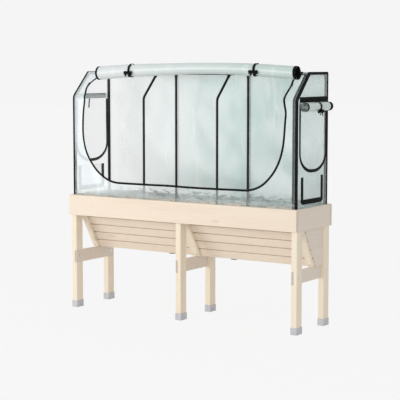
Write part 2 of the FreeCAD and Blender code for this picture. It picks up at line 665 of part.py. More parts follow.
def connector(name, face, hoop, middle):
    """A moulded corner: a ball with a sleeve for each tube there, each a hair slimmer than the last."""
    if face == "front":
        ways = [((1, 0, 0), "-90"), ((1, 0, 0), f"(180 deg - {slope_tilt})")]
    else:
        ways = [((1, 0, 0), "90"), ((1, 0, 0), "180")]
    if hoop != "left_end":
        ways.append(((0, 1, 0), "-90"))
    if hoop != "right_end":
        ways.append(((0, 1, 0), "90"))
    ball = doc.addObject("Part::Sphere", name + "_ball")
    bind(ball, "Radius", "(pole_diameter / 2 + sleeve_wall / 2)")
    solids = [put(ball, middle)]
    bores = []
    for number, (axis, angle) in enumerate(ways):
        step = f"({sleeve_radius} - {number} * pole_fit)"
        solids.append(rod(f"{name}_sleeve_{number}", step, "sleeve_length", middle, axis, angle))
        bore = "(pole_diameter / 2 + pole_fit)"
        ring = rod(f"{name}_bore_{number}", bore, "sleeve_length", middle, axis, angle)
        stop = rod(f"{name}_stop_{number}", bore, "sleeve_stop", middle, axis, angle)
        bores.append(cut(f"{name}_well_{number}", ring, stop))
    return cut(name + "_connector", fuse(name + "_solid", solids), group(name + "_wells", bores))


def profile(inset, low_z):
    """The cover seen from its end, drawn in by an inset."""
    return [
        (f"({inset} - {film_y})", low_z),
        (f"({film_y} - {inset})", low_z),
        (f"({film_y} - {inset})", f"({roof_z} - {inset})"),
        (inset_roof_y(inset), f"({roof_z} - {inset})"),
        (f"({inset} - {film_y})", inset_shoulder_z(inset)),
    ]


def cover():
    """Film panels with the front door and the end windows cut out, screens, piping, zips and bands."""
    width = f"2 * {film_inner_x}"
    under_roof = f"({roof_z} - film_thick)"
    roof_outline = [(inset_roof_y("0"), roof_z), (film_y, roof_z),
                    (film_y, under_roof), (inset_roof_y("film_thick"), under_roof)]
    node("cover_roof", plate("roof_film", roof_outline, f"-{film_inner_x}", width))
    back_low = (f"-{film_inner_x}", f"({film_y} - film_thick)", hem_z)
    back_size = (width, "film_thick", f"{under_roof} - {hem_z}")
    node("cover_back", block("back_film", back_low, back_size))
    front_outline = [(f"-{film_y}", hem_z), (f"-{film_y}", shoulder_z),
                     (inset_roof_y("0"), roof_z), (inset_roof_y("film_thick"), under_roof),
                     (f"(film_thick - {film_y})", inset_shoulder_z("film_thick")),
                     (f"(film_thick - {film_y})", hem_z)]
    front = plate("front_film", front_outline, f"-{film_inner_x}", width)
    front_start = ("0", f"(-{face_y})", "0")
    door = arch("door", door_half, door_bottom, door_top, "door_corner", front_start, face_y)
    node("cover_front", cut("front_film_open", front, door))
    front_zip(front_start)
    webbing = []
    screens = []
    piping = []
    for side, sign in SIDES:
        end = plate(f"{side}_film", profile("0", hem_z), low_corner(sign, film_inner_x, film_x),
                    "film_thick")
        start = (f"({sign} * {film_x} + tape_width)", window_middle, "0")
        window = arch(f"{side}_window", window_half, window_bottom, band_bottom, "window_corner",
                      start, "2 * tape_width", 90)
        vent_low = (f"{sign} * {film_x} - tape_width", f"({vent_middle} - {vent_half} + vent_border)",
                    f"({vent_bottom} + vent_border)")
        vent_size = ("2 * tape_width", f"2 * ({vent_half} - vent_border)",
                     "vent_height - 2 * vent_border")
        vent = block(f"{side}_vent", vent_low, vent_size)
        openings = group(f"{side}_end_openings", [window, vent])
        node(f"cover_{side}_end", cut(f"{side}_film_open", end, openings))
        screens.append(common(f"{side}_window_screen", end, window))
        screens.append(common(f"{side}_vent_screen", end, vent))
        webbing += end_webbing(side, sign, start)
        low_x = low_corner(sign, film_x, f"({film_x} + piping_thick)")
        rim = plate(f"{side}_piping_outside", profile("0", hem_z), low_x, "piping_thick")
        hollow = plate(f"{side}_piping_inside", profile("piping_width", f"({hem_z} - piping_width)"), low_x,
                       "piping_thick")
        piping.append(cut(f"{side}_piping", rim, hollow))
    node("mesh_screens", group("screens", screens))
    node("end_webbing", group("webbing", webbing))
    node("end_piping", group("piping", piping))


def front_zip(start):
    """Zip tape along the door's edge, on the outside of the film's front and slope."""
    skin_outline = [(f"-{film_y}", hem_z), (f"-{film_y}", shoulder_z),
                    (inset_roof_y("0"), roof_z),
                    (inset_roof_y("(-tape_thick)"), f"({roof_z} + tape_thick)"),
                    (f"(-tape_thick - {film_y})", inset_shoulder_z("(-tape_thick)")),
                    (f"(-tape_thick - {film_y})", hem_z)]
    skin = plate("zip_skin", skin_outline, f"-{film_inner_x}", f"2 * {film_inner_x}")
    outer = arch("zip_outer", f"({door_half} + tape_width / 2)", f"({door_bottom} - tape_width / 2)",
                 door_top, "(door_corner + tape_width / 2)", start, face_y)
    inner = arch("zip_inner", f"({door_half} - tape_width / 2)", f"({door_bottom} + tape_width / 2)",
                 f"({door_top} + tape_width)", "(door_corner - tape_width / 2)", start, face_y)
    node("front_zip_tape", common("zip_tape", skin, cut("zip_band", outer, inner)))


def end_webbing(side, sign, start):
    """The window's U-shaped zip tape, and the wide band over it from piping to piping, on one end."""
    low_x = low_corner(sign, film_x, f"({film_x} + tape_thick)")
    low = (low_x, f"({window_middle} - {window_half} - window_tape_width)",
           f"({window_bottom} - window_tape_width)")
    size = ("tape_thick", f"2 * ({window_half} + window_tape_width)",
            f"{band_bottom} - {window_bottom} + window_tape_width")
    sheet_piece = block(f"{side}_zip_sheet", low, size)
    outer = arch(f"{side}_zip_outer", f"({window_half} + window_tape_width / 2)",
                 f"({window_bottom} - window_tape_width / 2)", band_bottom,
                 "(window_corner + window_tape_width / 2)", start, "2 * window_tape_width", 90)
    inner = arch(f"{side}_zip_inner", f"({window_half} - window_tape_width / 2)",
                 f"({window_bottom} + window_tape_width / 2)", f"({band_bottom} + window_tape_width)",
                 "(window_corner - window_tape_width / 2)", start, "2 * window_tape_width", 90)
    zip_tape = common(f"{side}_zip_tape", sheet_piece, cut(f"{side}_zip_band", outer, inner))
    strip = block(f"{side}_band_strip", (low_x, f"-{film_y}", band_bottom),
                  ("tape_thick", f"2 * {film_y}", "band_height"))
    between = plate(f"{side}_band_reach", profile("(piping_width + soft_gap)", hem_z), low_x, "tape_thick")
    return [zip_tape, common(f"{side}_band", strip, between)]


def on_film_slope(along, out):
    """The (y, z) place at a length up the cover's slope from the shoulder and a height off the film."""
    y = f"({along} * sin({slope_tilt}) - {out} * cos({slope_tilt}) - {film_y})"
    z = f"({shoulder_z} + {along} * cos({slope_tilt}) + {out} * sin({slope_tilt}))"
    return y, z


def ring_sector(name, radius, sweep):
    """A bar of one radius bent to the rolled door's long arch, from the top of the arch towards +X."""
    ring = doc.addObject("Part::Torus", name)
    bind(ring, "Radius1", arch_radius)
    bind(ring, "Radius2", radius)
    bind(ring, "Angle3", sweep)
    turn = FreeCAD.Rotation(FreeCAD.Vector(0, 0, 1), FreeCAD.Vector(1, 0, 0),
                            FreeCAD.Vector(0, 1, 0), "XYZ")
    ring.Placement = FreeCAD.Placement(FreeCAD.Vector(), turn)
    return ring


roll_radius = "(roll_diameter / 2)"
roll_left = f"({door_half} - roll_left_short)"
roll_right = f"({door_half} + roll_right_over)"
roll_half = f"(({roll_left} + {roll_right}) / 2)"
roll_middle_x = f"(({roll_right} - {roll_left}) / 2)"
arch_radius = f"(({roll_half} ^ 2 + roll_arch ^ 2) / (2 * roll_arch))"
roll_y, roll_seat_z = on_film_slope("roll_place", f"({roll_radius} + tape_thick + soft_gap)")
# The arch lets the roll down until it lies on the zip tape near its right end
zip_offset = f"({door_half} + tape_width / 2 - {roll_middle_x})"
zip_rise = f"(sqrt({arch_radius} ^ 2 - {zip_offset} ^ 2) - {arch_radius} + roll_arch)"
roll_end_z = f"({roll_seat_z} - {zip_rise})"
arch_centre = (roll_middle_x, roll_y, f"({roll_end_z} + roll_arch - {arch_radius})")


def tie_bow(name, x, y, z, along):
    """A knotted bow along X or Y: a short round knot, and a flared loop on each side of it."""
    if along == "x":
        turns = (((0, 1, 0), "-90"), ((0, 1, 0), "90"))
        start = (f"({x} - bow_knot_length / 2)", y, z)
    else:
        turns = (((1, 0, 0), "90"), ((1, 0, 0), "-90"))
        start = (x, f"({y} - bow_knot_length / 2)", z)
    shapes = [rod(name + "_knot", "bow_knot_diameter / 2", "bow_knot_length", start, *turns[1])]
    for number, turn in enumerate(turns):
        loop = doc.addObject("Part::Cone", f"{name}_loop_{number}")
        bind(loop, "Radius1", "bow_loop_neck / 2")
        bind(loop, "Radius2", "bow_loop_mouth / 2")
        bind(loop, "Height", "bow_loop_length")
        shapes.append(put(loop, (x, y, z), *turn))
    return shapes


def front_roll():
    """The rolled front door, arched a little in its length, and its two ties with bows."""
    sweep = f"(2 * asin({roll_half} / {arch_radius}))"
    core = f"({roll_radius} - roll_wall)"
    roll = cut("door_roll", ring_sector("door_roll_outside", roll_radius, sweep),
               ring_sector("door_roll_core", core, sweep))
    node("front_door_roll", put(roll, arch_centre, (0, 1, 0), f"(-{sweep} / 2)"))
    ties = []
    tie_sweep = f"(tie_width / {arch_radius} * 180 deg / pi)"
    ring_inner = f"({roll_radius} + soft_gap)"
    ring_outer = f"({ring_inner} + tie_thick)"
    tie_places = {"left": f"(tie_left_inset - {roll_left})", "right": f"({roll_right} - tie_right_inset)"}
    for side, tie_x in tie_places.items():
        outer = ring_sector(f"{side}_tie_outer", ring_outer, tie_sweep)
        inner = ring_sector(f"{side}_tie_inner", ring_inner, tie_sweep)
        offset = f"({tie_x} - {roll_middle_x})"
        place = f"(asin({offset} / {arch_radius}) - {tie_sweep} / 2)"
        band = put(cut(f"{side}_tie_band", outer, inner), arch_centre, (0, 1, 0), place)
        rise = f"({arch_centre[2]} + sqrt({arch_radius} ^ 2 - {offset} ^ 2))"
        reach = f"({ring_outer} + (bow_knot_diameter - tie_thick) / 2)"
        knot_z = f"({rise} - {reach} * sin(front_knot_angle))"
        knot_y = f"({roll_y} - {reach} * cos(front_knot_angle))"
        bow = tie_bow(f"{side}_front_bow", tie_x, knot_y, knot_z, "x")
        ties.append(fuse(f"{side}_front_tie", [band, *bow]))
    node("front_ties", group("front_tie_pair", ties))


def window_flap():
    """The left window's flap, zipped shut inside its tape, and its loose tie hanging from the band."""
    edge = "(window_tape_width / 2 + soft_gap)"
    start = (f"(-{film_x} - soft_gap)", window_middle, "0")
    flap = arch("shut_flap", f"({window_half} - {edge})", f"({window_bottom} + {edge})",
                f"({band_bottom} - soft_gap)", f"(window_corner - {edge})", start, "film_thick", 90)
    node("left_window_flap", flap)
    tie_low = (f"(-{film_x} - 2 * soft_gap - film_thick - tie_thick)",
               f"({window_middle} - loose_tie_forward - tie_width / 2)",
               f"({band_bottom} - soft_gap - loose_tie_length)")
    node("left_window_tie", block("loose_tie", tie_low, ("tie_thick", "tie_width", "loose_tie_length")))


def window_roll():
    """The right window's flap, rolled up under its band and held by one tie with a bow."""
    radius = "(flap_roll_diameter / 2)"
    roll_x = f"({film_x} + soft_gap + tie_thick + soft_gap + {radius})"
    roll_z = f"({band_bottom} - flap_roll_drop)"
    roll_reach = f"({window_half} + flap_roll_over)"
    along = ((1, 0, 0), "-90")
    start = (roll_x, f"({window_middle} - {roll_reach})", roll_z)
    outside = rod("flap_roll_outside", radius, f"2 * {roll_reach}", start, *along)
    core = rod("flap_roll_core", f"({radius} - roll_wall)", f"2 * {roll_reach}", start, *along)
    node("right_window_roll", cut("flap_roll", outside, core))
    inner = f"({radius} + soft_gap)"
    tie_start = (roll_x, f"({window_middle} - tie_width / 2)", roll_z)
    band = cut("flap_tie_band",
               rod("flap_tie_outer", f"({inner} + tie_thick)", "tie_width", tie_start, *along),
               rod("flap_tie_inner", inner, "tie_width", tie_start, *along))
    reach = f"({inner} + tie_thick + (bow_knot_diameter - tie_thick) / 2)"
    knot_x = f"({roll_x} + {reach} * cos(window_knot_angle))"
    knot_z = f"({roll_z} - {reach} * sin(window_knot_angle))"
    bow = tie_bow("flap_bow", knot_x, window_middle, knot_z, "y")
    node("right_window_tie", fuse("flap_tie", [band, *bow]))


def vent_flaps():
    """A flap over the vent low in each end, sewn on along its top."""
    for side, sign in SIDES:
        flap_x = low_corner(sign, f"({film_x} + soft_gap)", f"({film_x} + soft_gap + flap_thick)")
        flap_low = (flap_x, f"({vent_middle} - {vent_half})", vent_bottom)
        flap_size = ("flap_thick", f"2 * {vent_half}", "vent_height")
        node(f"{side}_vent_flap", block(f"{side}_flap", flap_low, flap_size))


def zip_sliders():
    """A slider on each side of the front zip's slope, and its pull lying below the slider's bridge."""
    lean = ((1, 0, 0), f"-{slope_tilt}")
    base_out = "(tape_thick + soft_gap + slider_thick)"
    bridge_along = "(slider_place + (slider_length - bridge_length) / 2)"
    for side, sign in SIDES:
        middle = mirror_x(sign, door_half)
        y, z = on_film_slope("slider_place", base_out)
        shoe = block(f"{side}_slider_shoe", (f"({middle} - slider_width / 2)", y, z),
                     ("slider_width", "slider_thick", "slider_length"), *lean)
        y, z = on_film_slope(bridge_along, f"({base_out} + bridge_height)")
        bridge = block(f"{side}_slider_bridge", (f"({middle} - bridge_width / 2)", y, z),
                       ("bridge_width", "bridge_height", "bridge_length"), *lean)
        node(f"{side}_zip_slider", fuse(f"{side}_slider", [shoe, bridge]))
        y, z = on_film_slope(f"({bridge_along} - pull_gap - pull_length)",
                             f"({base_out} + soft_gap + pull_thick)")
        node(f"{side}_zip_pull", block(f"{side}_pull", (f"({middle} - pull_width / 2)", y, z),
                                       ("pull_width", "pull_thick", "pull_length"), *lean))


def build():
    """Model every sub-part."""
    screws = []
    apron()
    leg_frames()
    trough(screws)
    ledges_and_sockets(screws)
    node("wood_screws", group("screws", screws))
    hoops()
    cover()
    front_roll()
    window_flap()
    window_roll()
    vent_flaps()
    zip_sliders()


def write():
    """Check every object, then write each sub-part to its own file."""
    doc.recompute()
    faulty = [thing.Name for thing in doc.Objects if {"Invalid", "Error"} & set(thing.State)]
    if faulty:
        raise RuntimeError(f"objects that failed: {faulty}")
    for thing in nodes:
        if thing.Shape.isNull() or not thing.Shape.isValid() or not thing.Shape.Solids:
            raise RuntimeError(f"bad shape: {thing.Label}")
    os.makedirs("parts", exist_ok=True)
    for thing in nodes:
        thing.Shape.exportStep(f"parts/{thing.Label}.step")
    print(len(nodes), "sub-parts written")


build()
write()
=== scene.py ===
"""Raised timber planter under a clear film greenhouse cover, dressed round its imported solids, in metres."""

import math

import bmesh
import bpy
import numpy as np
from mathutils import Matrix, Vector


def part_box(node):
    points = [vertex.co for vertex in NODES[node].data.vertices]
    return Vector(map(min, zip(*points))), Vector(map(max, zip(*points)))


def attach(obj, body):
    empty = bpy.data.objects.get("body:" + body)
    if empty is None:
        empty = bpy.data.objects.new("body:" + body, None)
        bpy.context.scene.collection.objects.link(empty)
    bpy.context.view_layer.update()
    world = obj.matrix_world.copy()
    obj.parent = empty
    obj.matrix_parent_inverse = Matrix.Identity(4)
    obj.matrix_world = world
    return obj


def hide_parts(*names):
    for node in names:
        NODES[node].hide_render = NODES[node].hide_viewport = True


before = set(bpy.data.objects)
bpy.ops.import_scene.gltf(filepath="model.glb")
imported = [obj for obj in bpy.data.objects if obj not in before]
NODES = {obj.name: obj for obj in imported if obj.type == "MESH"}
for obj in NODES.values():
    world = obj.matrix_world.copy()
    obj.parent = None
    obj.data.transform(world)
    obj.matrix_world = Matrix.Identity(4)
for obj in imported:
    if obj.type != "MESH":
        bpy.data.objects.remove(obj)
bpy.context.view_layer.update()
TURN = 2 * math.pi
# The planter's own middle, to the left of the whole box's middle; pieces are drawn about it
MIDDLE_X = sum(corner.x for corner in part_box("front_apron_board")) / 2

CAMERA_PLACE = (4.7548, -7.1988, 1.6828)
CAMERA_TURN = (math.pi / 2 - 0.1038, 0, 0.5829)
CAMERA_LENS = 116.67
CAMERA_SENSOR = 36


def make_camera():
    """The photograph's eye: a long lens, in front and to the right, a little above the cover's shoulder."""
    data = bpy.data.cameras.new("photo_camera")
    data.lens = CAMERA_LENS
    data.sensor_width = CAMERA_SENSOR
    data.clip_end = 200
    camera = bpy.data.objects.new("photo_camera", data)
    camera.location = CAMERA_PLACE
    camera.rotation_euler = CAMERA_TURN
    bpy.context.scene.collection.objects.link(camera)
    bpy.context.scene.camera = camera


make_camera()


def node(tree, kind, inputs=(), **settings):
    """One shader node; inputs are pairs of a socket and either a value or another node's output."""
    made = tree.nodes.new(kind)
    for name, value in settings.items():
        setattr(made, name, value)
    for socket, value in inputs:
        if isinstance(value, bpy.types.NodeSocket):
            tree.links.new(value, made.inputs[socket])
        else:
            made.inputs[socket].default_value = value
    return made


def maths(tree, operation, first, second=0.0, clamp=False):
    """One arithmetic step on two values."""
    inputs = ((0, first), (1, second))
    return node(tree, "ShaderNodeMath", inputs, operation=operation, use_clamp=clamp).outputs[0]


def weighted(tree, base, *terms):
    """A base plus values, each times its share."""
    total = base
    for value, share in terms:
        inputs = ((0, value), (1, share), (2, total))
        total = node(tree, "ShaderNodeMath", inputs, operation="MULTIPLY_ADD").outputs[0]
    return total


def tints(tree, share, first, second):
    """Colour that runs from first to second as share runs from 0 to 1."""
    mix = node(tree, "ShaderNodeMix", ((0, share), (6, first), (7, second)), data_type="RGBA")
    return mix.outputs[2]


def stretch(tree, source, scale, offset=(0, 0, 0), turn=(0, 0, 0)):
    """Coordinates scaled, turned and shifted."""
    inputs = (("Vector", source), ("Scale", scale), ("Location", offset), ("Rotation", turn))
    return node(tree, "ShaderNodeMapping", inputs).outputs[0]


def cloud(tree, source, scale, detail=3.0, roughness=0.5, warp=0.0):
    """Soft noise from 0 to 1."""
    inputs = (("Vector", source), ("Scale", scale), ("Detail", detail), ("Roughness", roughness),
              ("Distortion", warp))
    return node(tree, "ShaderNodeTexNoise", inputs).outputs["Fac"]


def between(tree, value, low, high, low_out=0.0, high_out=1.0):
    """Value mapped from low..high to low_out..high_out, smooth at both ends."""
    inputs = ((0, value), (1, low), (2, high), (3, low_out), (4, high_out))
    return node(tree, "ShaderNodeMapRange", inputs, interpolation_type="SMOOTHSTEP").outputs[0]


def relief(tree, height, depth, strength=1.0):
    """Surface relief of a height from 0 to 1 and a depth in metres."""
    inputs = (("Height", height), ("Distance", depth), ("Strength", strength))
    return node(tree, "ShaderNodeBump", inputs).outputs[0]


def finish(name, roughness=0.5, metallic=0.0, specular=0.5, sheen=0.0):
    """A new material with its plain values set: the material, its tree, its shader and its coordinates."""
    material = bpy.data.materials.new(name)
    material.use_nodes = True
    tree = material.node_tree
    shader = tree.nodes["Principled BSDF"]
    shader.inputs["Roughness"].default_value = roughness
    shader.inputs["Metallic"].default_value = metallic
    shader.inputs["Specular IOR Level"].default_value = specular
    shader.inputs["Sheen Weight"].default_value = sheen
    place = node(tree, "ShaderNodeTexCoord")
    return material, tree, shader, place


def feed(tree, shader, **sockets):
    """Links values to the shader's sockets, an underscore standing for a space."""
    for name, value in sockets.items():
        tree.links.new(value, shader.inputs[name.replace("_", " ")])


TIMBER_TONES = {
    "x": ((0.873, 0.752, 0.615, 1), (0.780, 0.643, 0.505, 1)),
    "y": ((0.812, 0.726, 0.625, 1), (0.729, 0.620, 0.512, 1)),
    "z": ((0.905, 0.800, 0.645, 1), (0.812, 0.690, 0.538, 1)),
}
TIMBER_KNOT = (0.560, 0.380, 0.255, 1)
END_GRAIN = (0.370, 0.300, 0.235, 1)
GRAIN_AXES = {"x": 0, "y": 1, "z": 2}
# How fine each figure is along the grain and across it
FIGURE_GRAIN = (1.1, 16)
FIBRE_GRAIN = (7, 210)
KNOT_GRAIN = (2.6, 8.5)
RING_GRAIN = (4, 95)
# Each size of knot: its cells' scale, its reach, how rare it is and how dark
KNOTS = ((1.0, 0.15, 0.70, 0.42), (2.3, 0.11, 0.78, 0.30))
# How far apart in the figure the tones lie, and the two bays
TONE_STEPS = (3.1, 1.7, 2.3)
BAY_STEP = 31.0
CENTRE_JOINT_X = MIDDLE_X - 0.011


def timber(axis, tone, boards=None, ends=0.3):
    """Pale planed softwood with its grain along an axis. Streaks are noise stretched along the grain, knots
    the middles of a cell pattern, and faces square to the grain turn to darker end grain by the share of
    ends. Boards of one node, given as the lowest height and the pitch, differ in tone and figure, and so do
    the two bays."""
    material, tree, shader, place = finish(f"planed_timber_{axis}_{tone}", roughness=0.62, specular=0.3)
    along = GRAIN_AXES[axis]
    seed = [tone * step for step in TONE_STEPS]
    spot = place.outputs["Object"]
    board_tone = 0.5
    if boards:
        lowest, pitch = boards
        parts = node(tree, "ShaderNodeSeparateXYZ", ((0, spot),)).outputs
        board = maths(tree, "FLOOR", maths(tree, "DIVIDE", maths(tree, "SUBTRACT", parts[2], lowest), pitch))
        bay = maths(tree, "GREATER_THAN", parts[0], CENTRE_JOINT_X)
        board = weighted(tree, board, (bay, BAY_STEP))
        shift = node(tree, "ShaderNodeCombineXYZ", ((0, board), (1, board), (2, board))).outputs[0]
        spot = node(tree, "ShaderNodeVectorMath", ((0, spot), (1, shift)), operation="ADD").outputs[0]
        noise = node(tree, "ShaderNodeTexWhiteNoise", (("W", board),), noise_dimensions="1D")
        board_tone = noise.outputs["Value"]

    def grained(figure_grain):
        lengthwise, across = figure_grain
        scale = [across] * 3
        scale[along] = lengthwise
        return stretch(tree, spot, scale, seed)

    figure = between(tree, cloud(tree, grained(FIGURE_GRAIN), 1.0, 3.0, 0.55, 0.6), 0.36, 0.68)
    fibre = between(tree, cloud(tree, grained(FIBRE_GRAIN), 1.0, 4.0, 0.6), 0.30, 0.74)
    depth = weighted(tree, -0.06, (figure, 0.30), (fibre, 0.26), (board_tone, 0.24))
    colour = tints(tree, depth, *TIMBER_TONES[axis])
    for cell, reach, rare, share in KNOTS:
        cells = node(tree, "ShaderNodeTexVoronoi", (("Vector", grained(KNOT_GRAIN)), ("Scale", cell)))
        knot = between(tree, cells.outputs["Distance"], 0.04, reach, share, 0.0)
        chance = node(tree, "ShaderNodeSeparateColor", ((0, cells.outputs["Color"]),)).outputs[0]
        knot = maths(tree, "MULTIPLY", knot, maths(tree, "GREATER_THAN", chance, rare))
        colour = tints(tree, knot, colour, TIMBER_KNOT)
    facing = node(tree, "ShaderNodeSeparateXYZ", ((0, place.outputs["Normal"]),)).outputs[along]
    ending = between(tree, maths(tree, "ABSOLUTE", facing), 0.80, 0.95, 0.0, ends)
    rings = between(tree, cloud(tree, grained(RING_GRAIN), 1.0, 2.0, 0.4, 1.5), 0.35, 0.65, 0.7, 1.0)
    colour = tints(tree, maths(tree, "MULTIPLY", ending, rings), colour, END_GRAIN)
    rough = weighted(tree, 0.54, (fibre, 0.16))
    height = weighted(tree, 0.0, (fibre, 0.7), (figure, 0.3))
    feed(tree, shader, Base_Color=colour, Roughness=rough, Normal=relief(tree, height, 0.0005, 0.45))
    return material


# Each kind's worn patches: fineness, detail, roughness and limits, and how much rougher they are; then its
# relief: fineness, depth and strength; then metallic and specular
HARD_KINDS = {
    "plastic": (((22, 22, 22), 4.0, 0.6, (0.42, 0.74), 0.20), ((900, 900, 900), 0.0002, 0.5), (0.0, 0.45)),
    "plate": (((70, 70, 70), 3.0, 0.6, (0.40, 0.70), 0.25), ((260, 260, 2400), 0.0001, 0.4), (1.0, 0.5)),
    "powder": (((6, 6, 40), 3.0, 0.7, (0.58, 0.76), 0.22), ((420, 420, 420), 0.0003, 0.4), (0.0, 0.25)),
}


def hard_finish(name, kind, colour, worn, roughness):
    """Moulded plastic with dust in soft patches, plated metal with dull patches, or powder coat rubbed in
    thin rings; the relief is a fine grain, scratches or orange peel."""
    (fineness, detail, mixing, limits, rougher), (grain, depth, strength), plain = HARD_KINDS[kind]
    material, tree, shader, place = finish(name, roughness, *plain)
    spot = place.outputs["Object"]
    patches = cloud(tree, stretch(tree, spot, fineness), 1.0, detail, mixing)
    patches = between(tree, patches, *limits)
    height = cloud(tree, stretch(tree, spot, grain), 1.0, 2.0)
    rough = weighted(tree, roughness, (patches, rougher))
    feed(tree, shader, Base_Color=tints(tree, patches, colour, worn), Roughness=rough,
         Normal=relief(tree, height, depth, strength))
    return material


def map_waves(tree, place, *pitches):
    """Two sines on the piece's own map, along its rows and its columns, each with a pitch in metres."""
    parts = node(tree, "ShaderNodeSeparateXYZ", ((0, place.outputs["UV"]),)).outputs
    return [maths(tree, "SINE", maths(tree, "MULTIPLY", part, TURN / pitch))
            for part, pitch in zip(parts, pitches)]


def woven(name, colour, thread, pitch):
    """Woven black tape: ribs across and along on the piece's own map, each a sine of the map in metres."""
    material, tree, shader, place = finish(name, roughness=0.78, specular=0.10)
    ribs = [weighted(tree, 0.5, (wave, 0.5)) for wave in map_waves(tree, place, pitch, pitch / 0.7)]
    weave = maths(tree, "MULTIPLY", *ribs)
    dust = between(tree, cloud(tree, place.outputs["Object"], 34, 4.0, 0.6), 0.45, 0.78)
    share = weighted(tree, 0.0, (weave, 0.5), (dust, 0.4))
    feed(tree, shader, Base_Color=tints(tree, share, colour, thread),
         Roughness=weighted(tree, 0.7, (dust, 0.15)), Normal=relief(tree, weave, 0.0004, 0.7))
    return material


# Near-white of the painted highlights along the streaks
FILM_PAINTED_HIGHLIGHT = (0.93, 0.96, 0.95, 1)
FILM_SOIL = (0.120, 0.160, 0.150, 1)
# Milky white of welds and hems, also the painted light on the front film's left end
FILM_MILK_AND_PAINTED_LIGHT = (0.800, 0.855, 0.865, 1)
# How much of the film each kind of mark makes show
STREAK_SHOWS, SEAM_SHOWS, HEM_SHOWS, SPLASH_SHOWS = 0.13, 0.32, 0.06, 0.66


def clear_film(name, thin, thick, pale, grey, crumple_depth):
    """Clear greenhouse film: soft haze, a few long slanting streaks and light crumples change how much of it
    shows, and the streaks are painted near-white as highlights. Three values of the piece's own, from 0 to 1
    or a little over, change it further: veil turns it from thin and pale to thick and grey, which the pieces
    also use as painted shade, greyer towards the right; seam marks welds, pockets and folded hems as more
    solid and milky, and on the front film's left end it carries painted light, whiter there; and hem marks
    the splashed strip that stands on the rim."""
    material, tree, shader, place = finish(name, roughness=0.2, specular=0.45)
    spot = place.outputs["Object"]
    veil, seam, hem = (node(tree, "ShaderNodeAttribute", attribute_name=mark).outputs["Fac"]
                       for mark in ("veil", "seam", "hem"))
    haze = between(tree, cloud(tree, spot, 3.6, 3.0, 0.5, 0.4), 0.34, 0.70, 0.86, 1.10)
    veil = maths(tree, "MULTIPLY", veil, haze, clamp=True)
    streak_and_highlight = cloud(tree, stretch(tree, spot, (12, 12, 1.9), turn=(0.5, 0.55, 0.2)), 1.0, 2.0, 0.5, 0.6)
    streak_and_highlight = between(tree, streak_and_highlight, 0.56, 0.78)
    crumple = cloud(tree, spot, 24, 3.0, 0.55, 0.6)
    splash = between(tree, cloud(tree, stretch(tree, spot, (17, 17, 48)), 1.0, 4.0, 0.66, 0.6), 0.48, 0.58)
    splash = maths(tree, "MULTIPLY", splash, hem)
    cover = weighted(tree, thin, (veil, thick - thin))
    for mark, share in ((streak_and_highlight, STREAK_SHOWS), (seam, SEAM_SHOWS), (hem, HEM_SHOWS), (splash, SPLASH_SHOWS)):
        cover = maths(tree, "ADD", cover, maths(tree, "MULTIPLY", mark, share), clamp=True)
    # Paler where the veil is thin and greyer where it is thick; the pieces raise it towards the right as
    # painted shade
    colour = tints(tree, veil, pale, grey)
    # Welds and hems turn milky, and the front film's left end is painted whiter as light
    colour = tints(tree, maths(tree, "MULTIPLY", seam, 0.45, clamp=True), colour, FILM_MILK_AND_PAINTED_LIGHT)
    # Painted highlight: the streaks turn near-white
    colour = tints(tree, maths(tree, "MULTIPLY", streak_and_highlight, 0.5), colour, FILM_PAINTED_HIGHLIGHT)
    colour = tints(tree, maths(tree, "MULTIPLY", splash, 0.8), colour, FILM_SOIL)
    height = weighted(tree, 0.0, (crumple, 0.5), (streak_and_highlight, 0.5))
    rough = weighted(tree, 0.12, (haze, 0.12))
    feed(tree, shader, Base_Color=colour, Alpha=cover, Roughness=rough,
         Normal=relief(tree, height, crumple_depth, 0.3))
    return material


MESH_PITCH = 0.0024
MESH_TONES = ((0.800, 0.860, 0.850, 1), (0.900, 0.940, 0.930, 1))


def insect_mesh():
    """Fine white mesh: threads are the crests of two sines on the piece's map, open between them. The piece's
    own veil, from 0 to 1, says how much of it shows."""
    material, tree, shader, place = finish("insect_mesh", roughness=0.7, specular=0.2)
    threads = [between(tree, wave, 0.1, 0.7) for wave in map_waves(tree, place, MESH_PITCH, MESH_PITCH)]
    weave = maths(tree, "MAXIMUM", *threads)
    soft = between(tree, cloud(tree, place.outputs["Object"], 7, 3.0), 0.35, 0.7)
    cover = weighted(tree, 0.12, (weave, 0.34), (soft, 0.10))
    colour = tints(tree, soft, *MESH_TONES)
    veil = node(tree, "ShaderNodeAttribute", attribute_name="veil").outputs["Fac"]
    cover = maths(tree, "MULTIPLY", cover, veil, clamp=True)
    feed(tree, shader, Base_Color=colour, Alpha=cover, Normal=relief(tree, weave, 0.0004, 0.6))
    return material


LINER_TONES = ((0.022, 0.024, 0.023, 1), (0.070, 0.072, 0.066, 1))


def felted_liner():
    """Dark non-woven liner cloth: matted fibres at two scales and faint pale creases."""
    material, tree, shader, place = finish("liner_cloth", roughness=0.9, specular=0.15, sheen=0.2)
    spot = place.outputs["Object"]
    fibre = cloud(tree, spot, 520, 4.0, 0.7)
    patch_tone = between(tree, cloud(tree, spot, 9, 4.0, 0.6), 0.35, 0.72)
    crease = between(tree, cloud(tree, stretch(tree, spot, (4, 20, 20)), 1.0, 3.0, 0.5, 1.2), 0.56, 0.72)
    share = weighted(tree, 0.0, (patch_tone, 0.6), (crease, 0.4))
    feed(tree, shader, Base_Color=tints(tree, share, *LINER_TONES),
         Normal=relief(tree, maths(tree, "ADD", fibre, crease), 0.0012, 0.6))
    return material


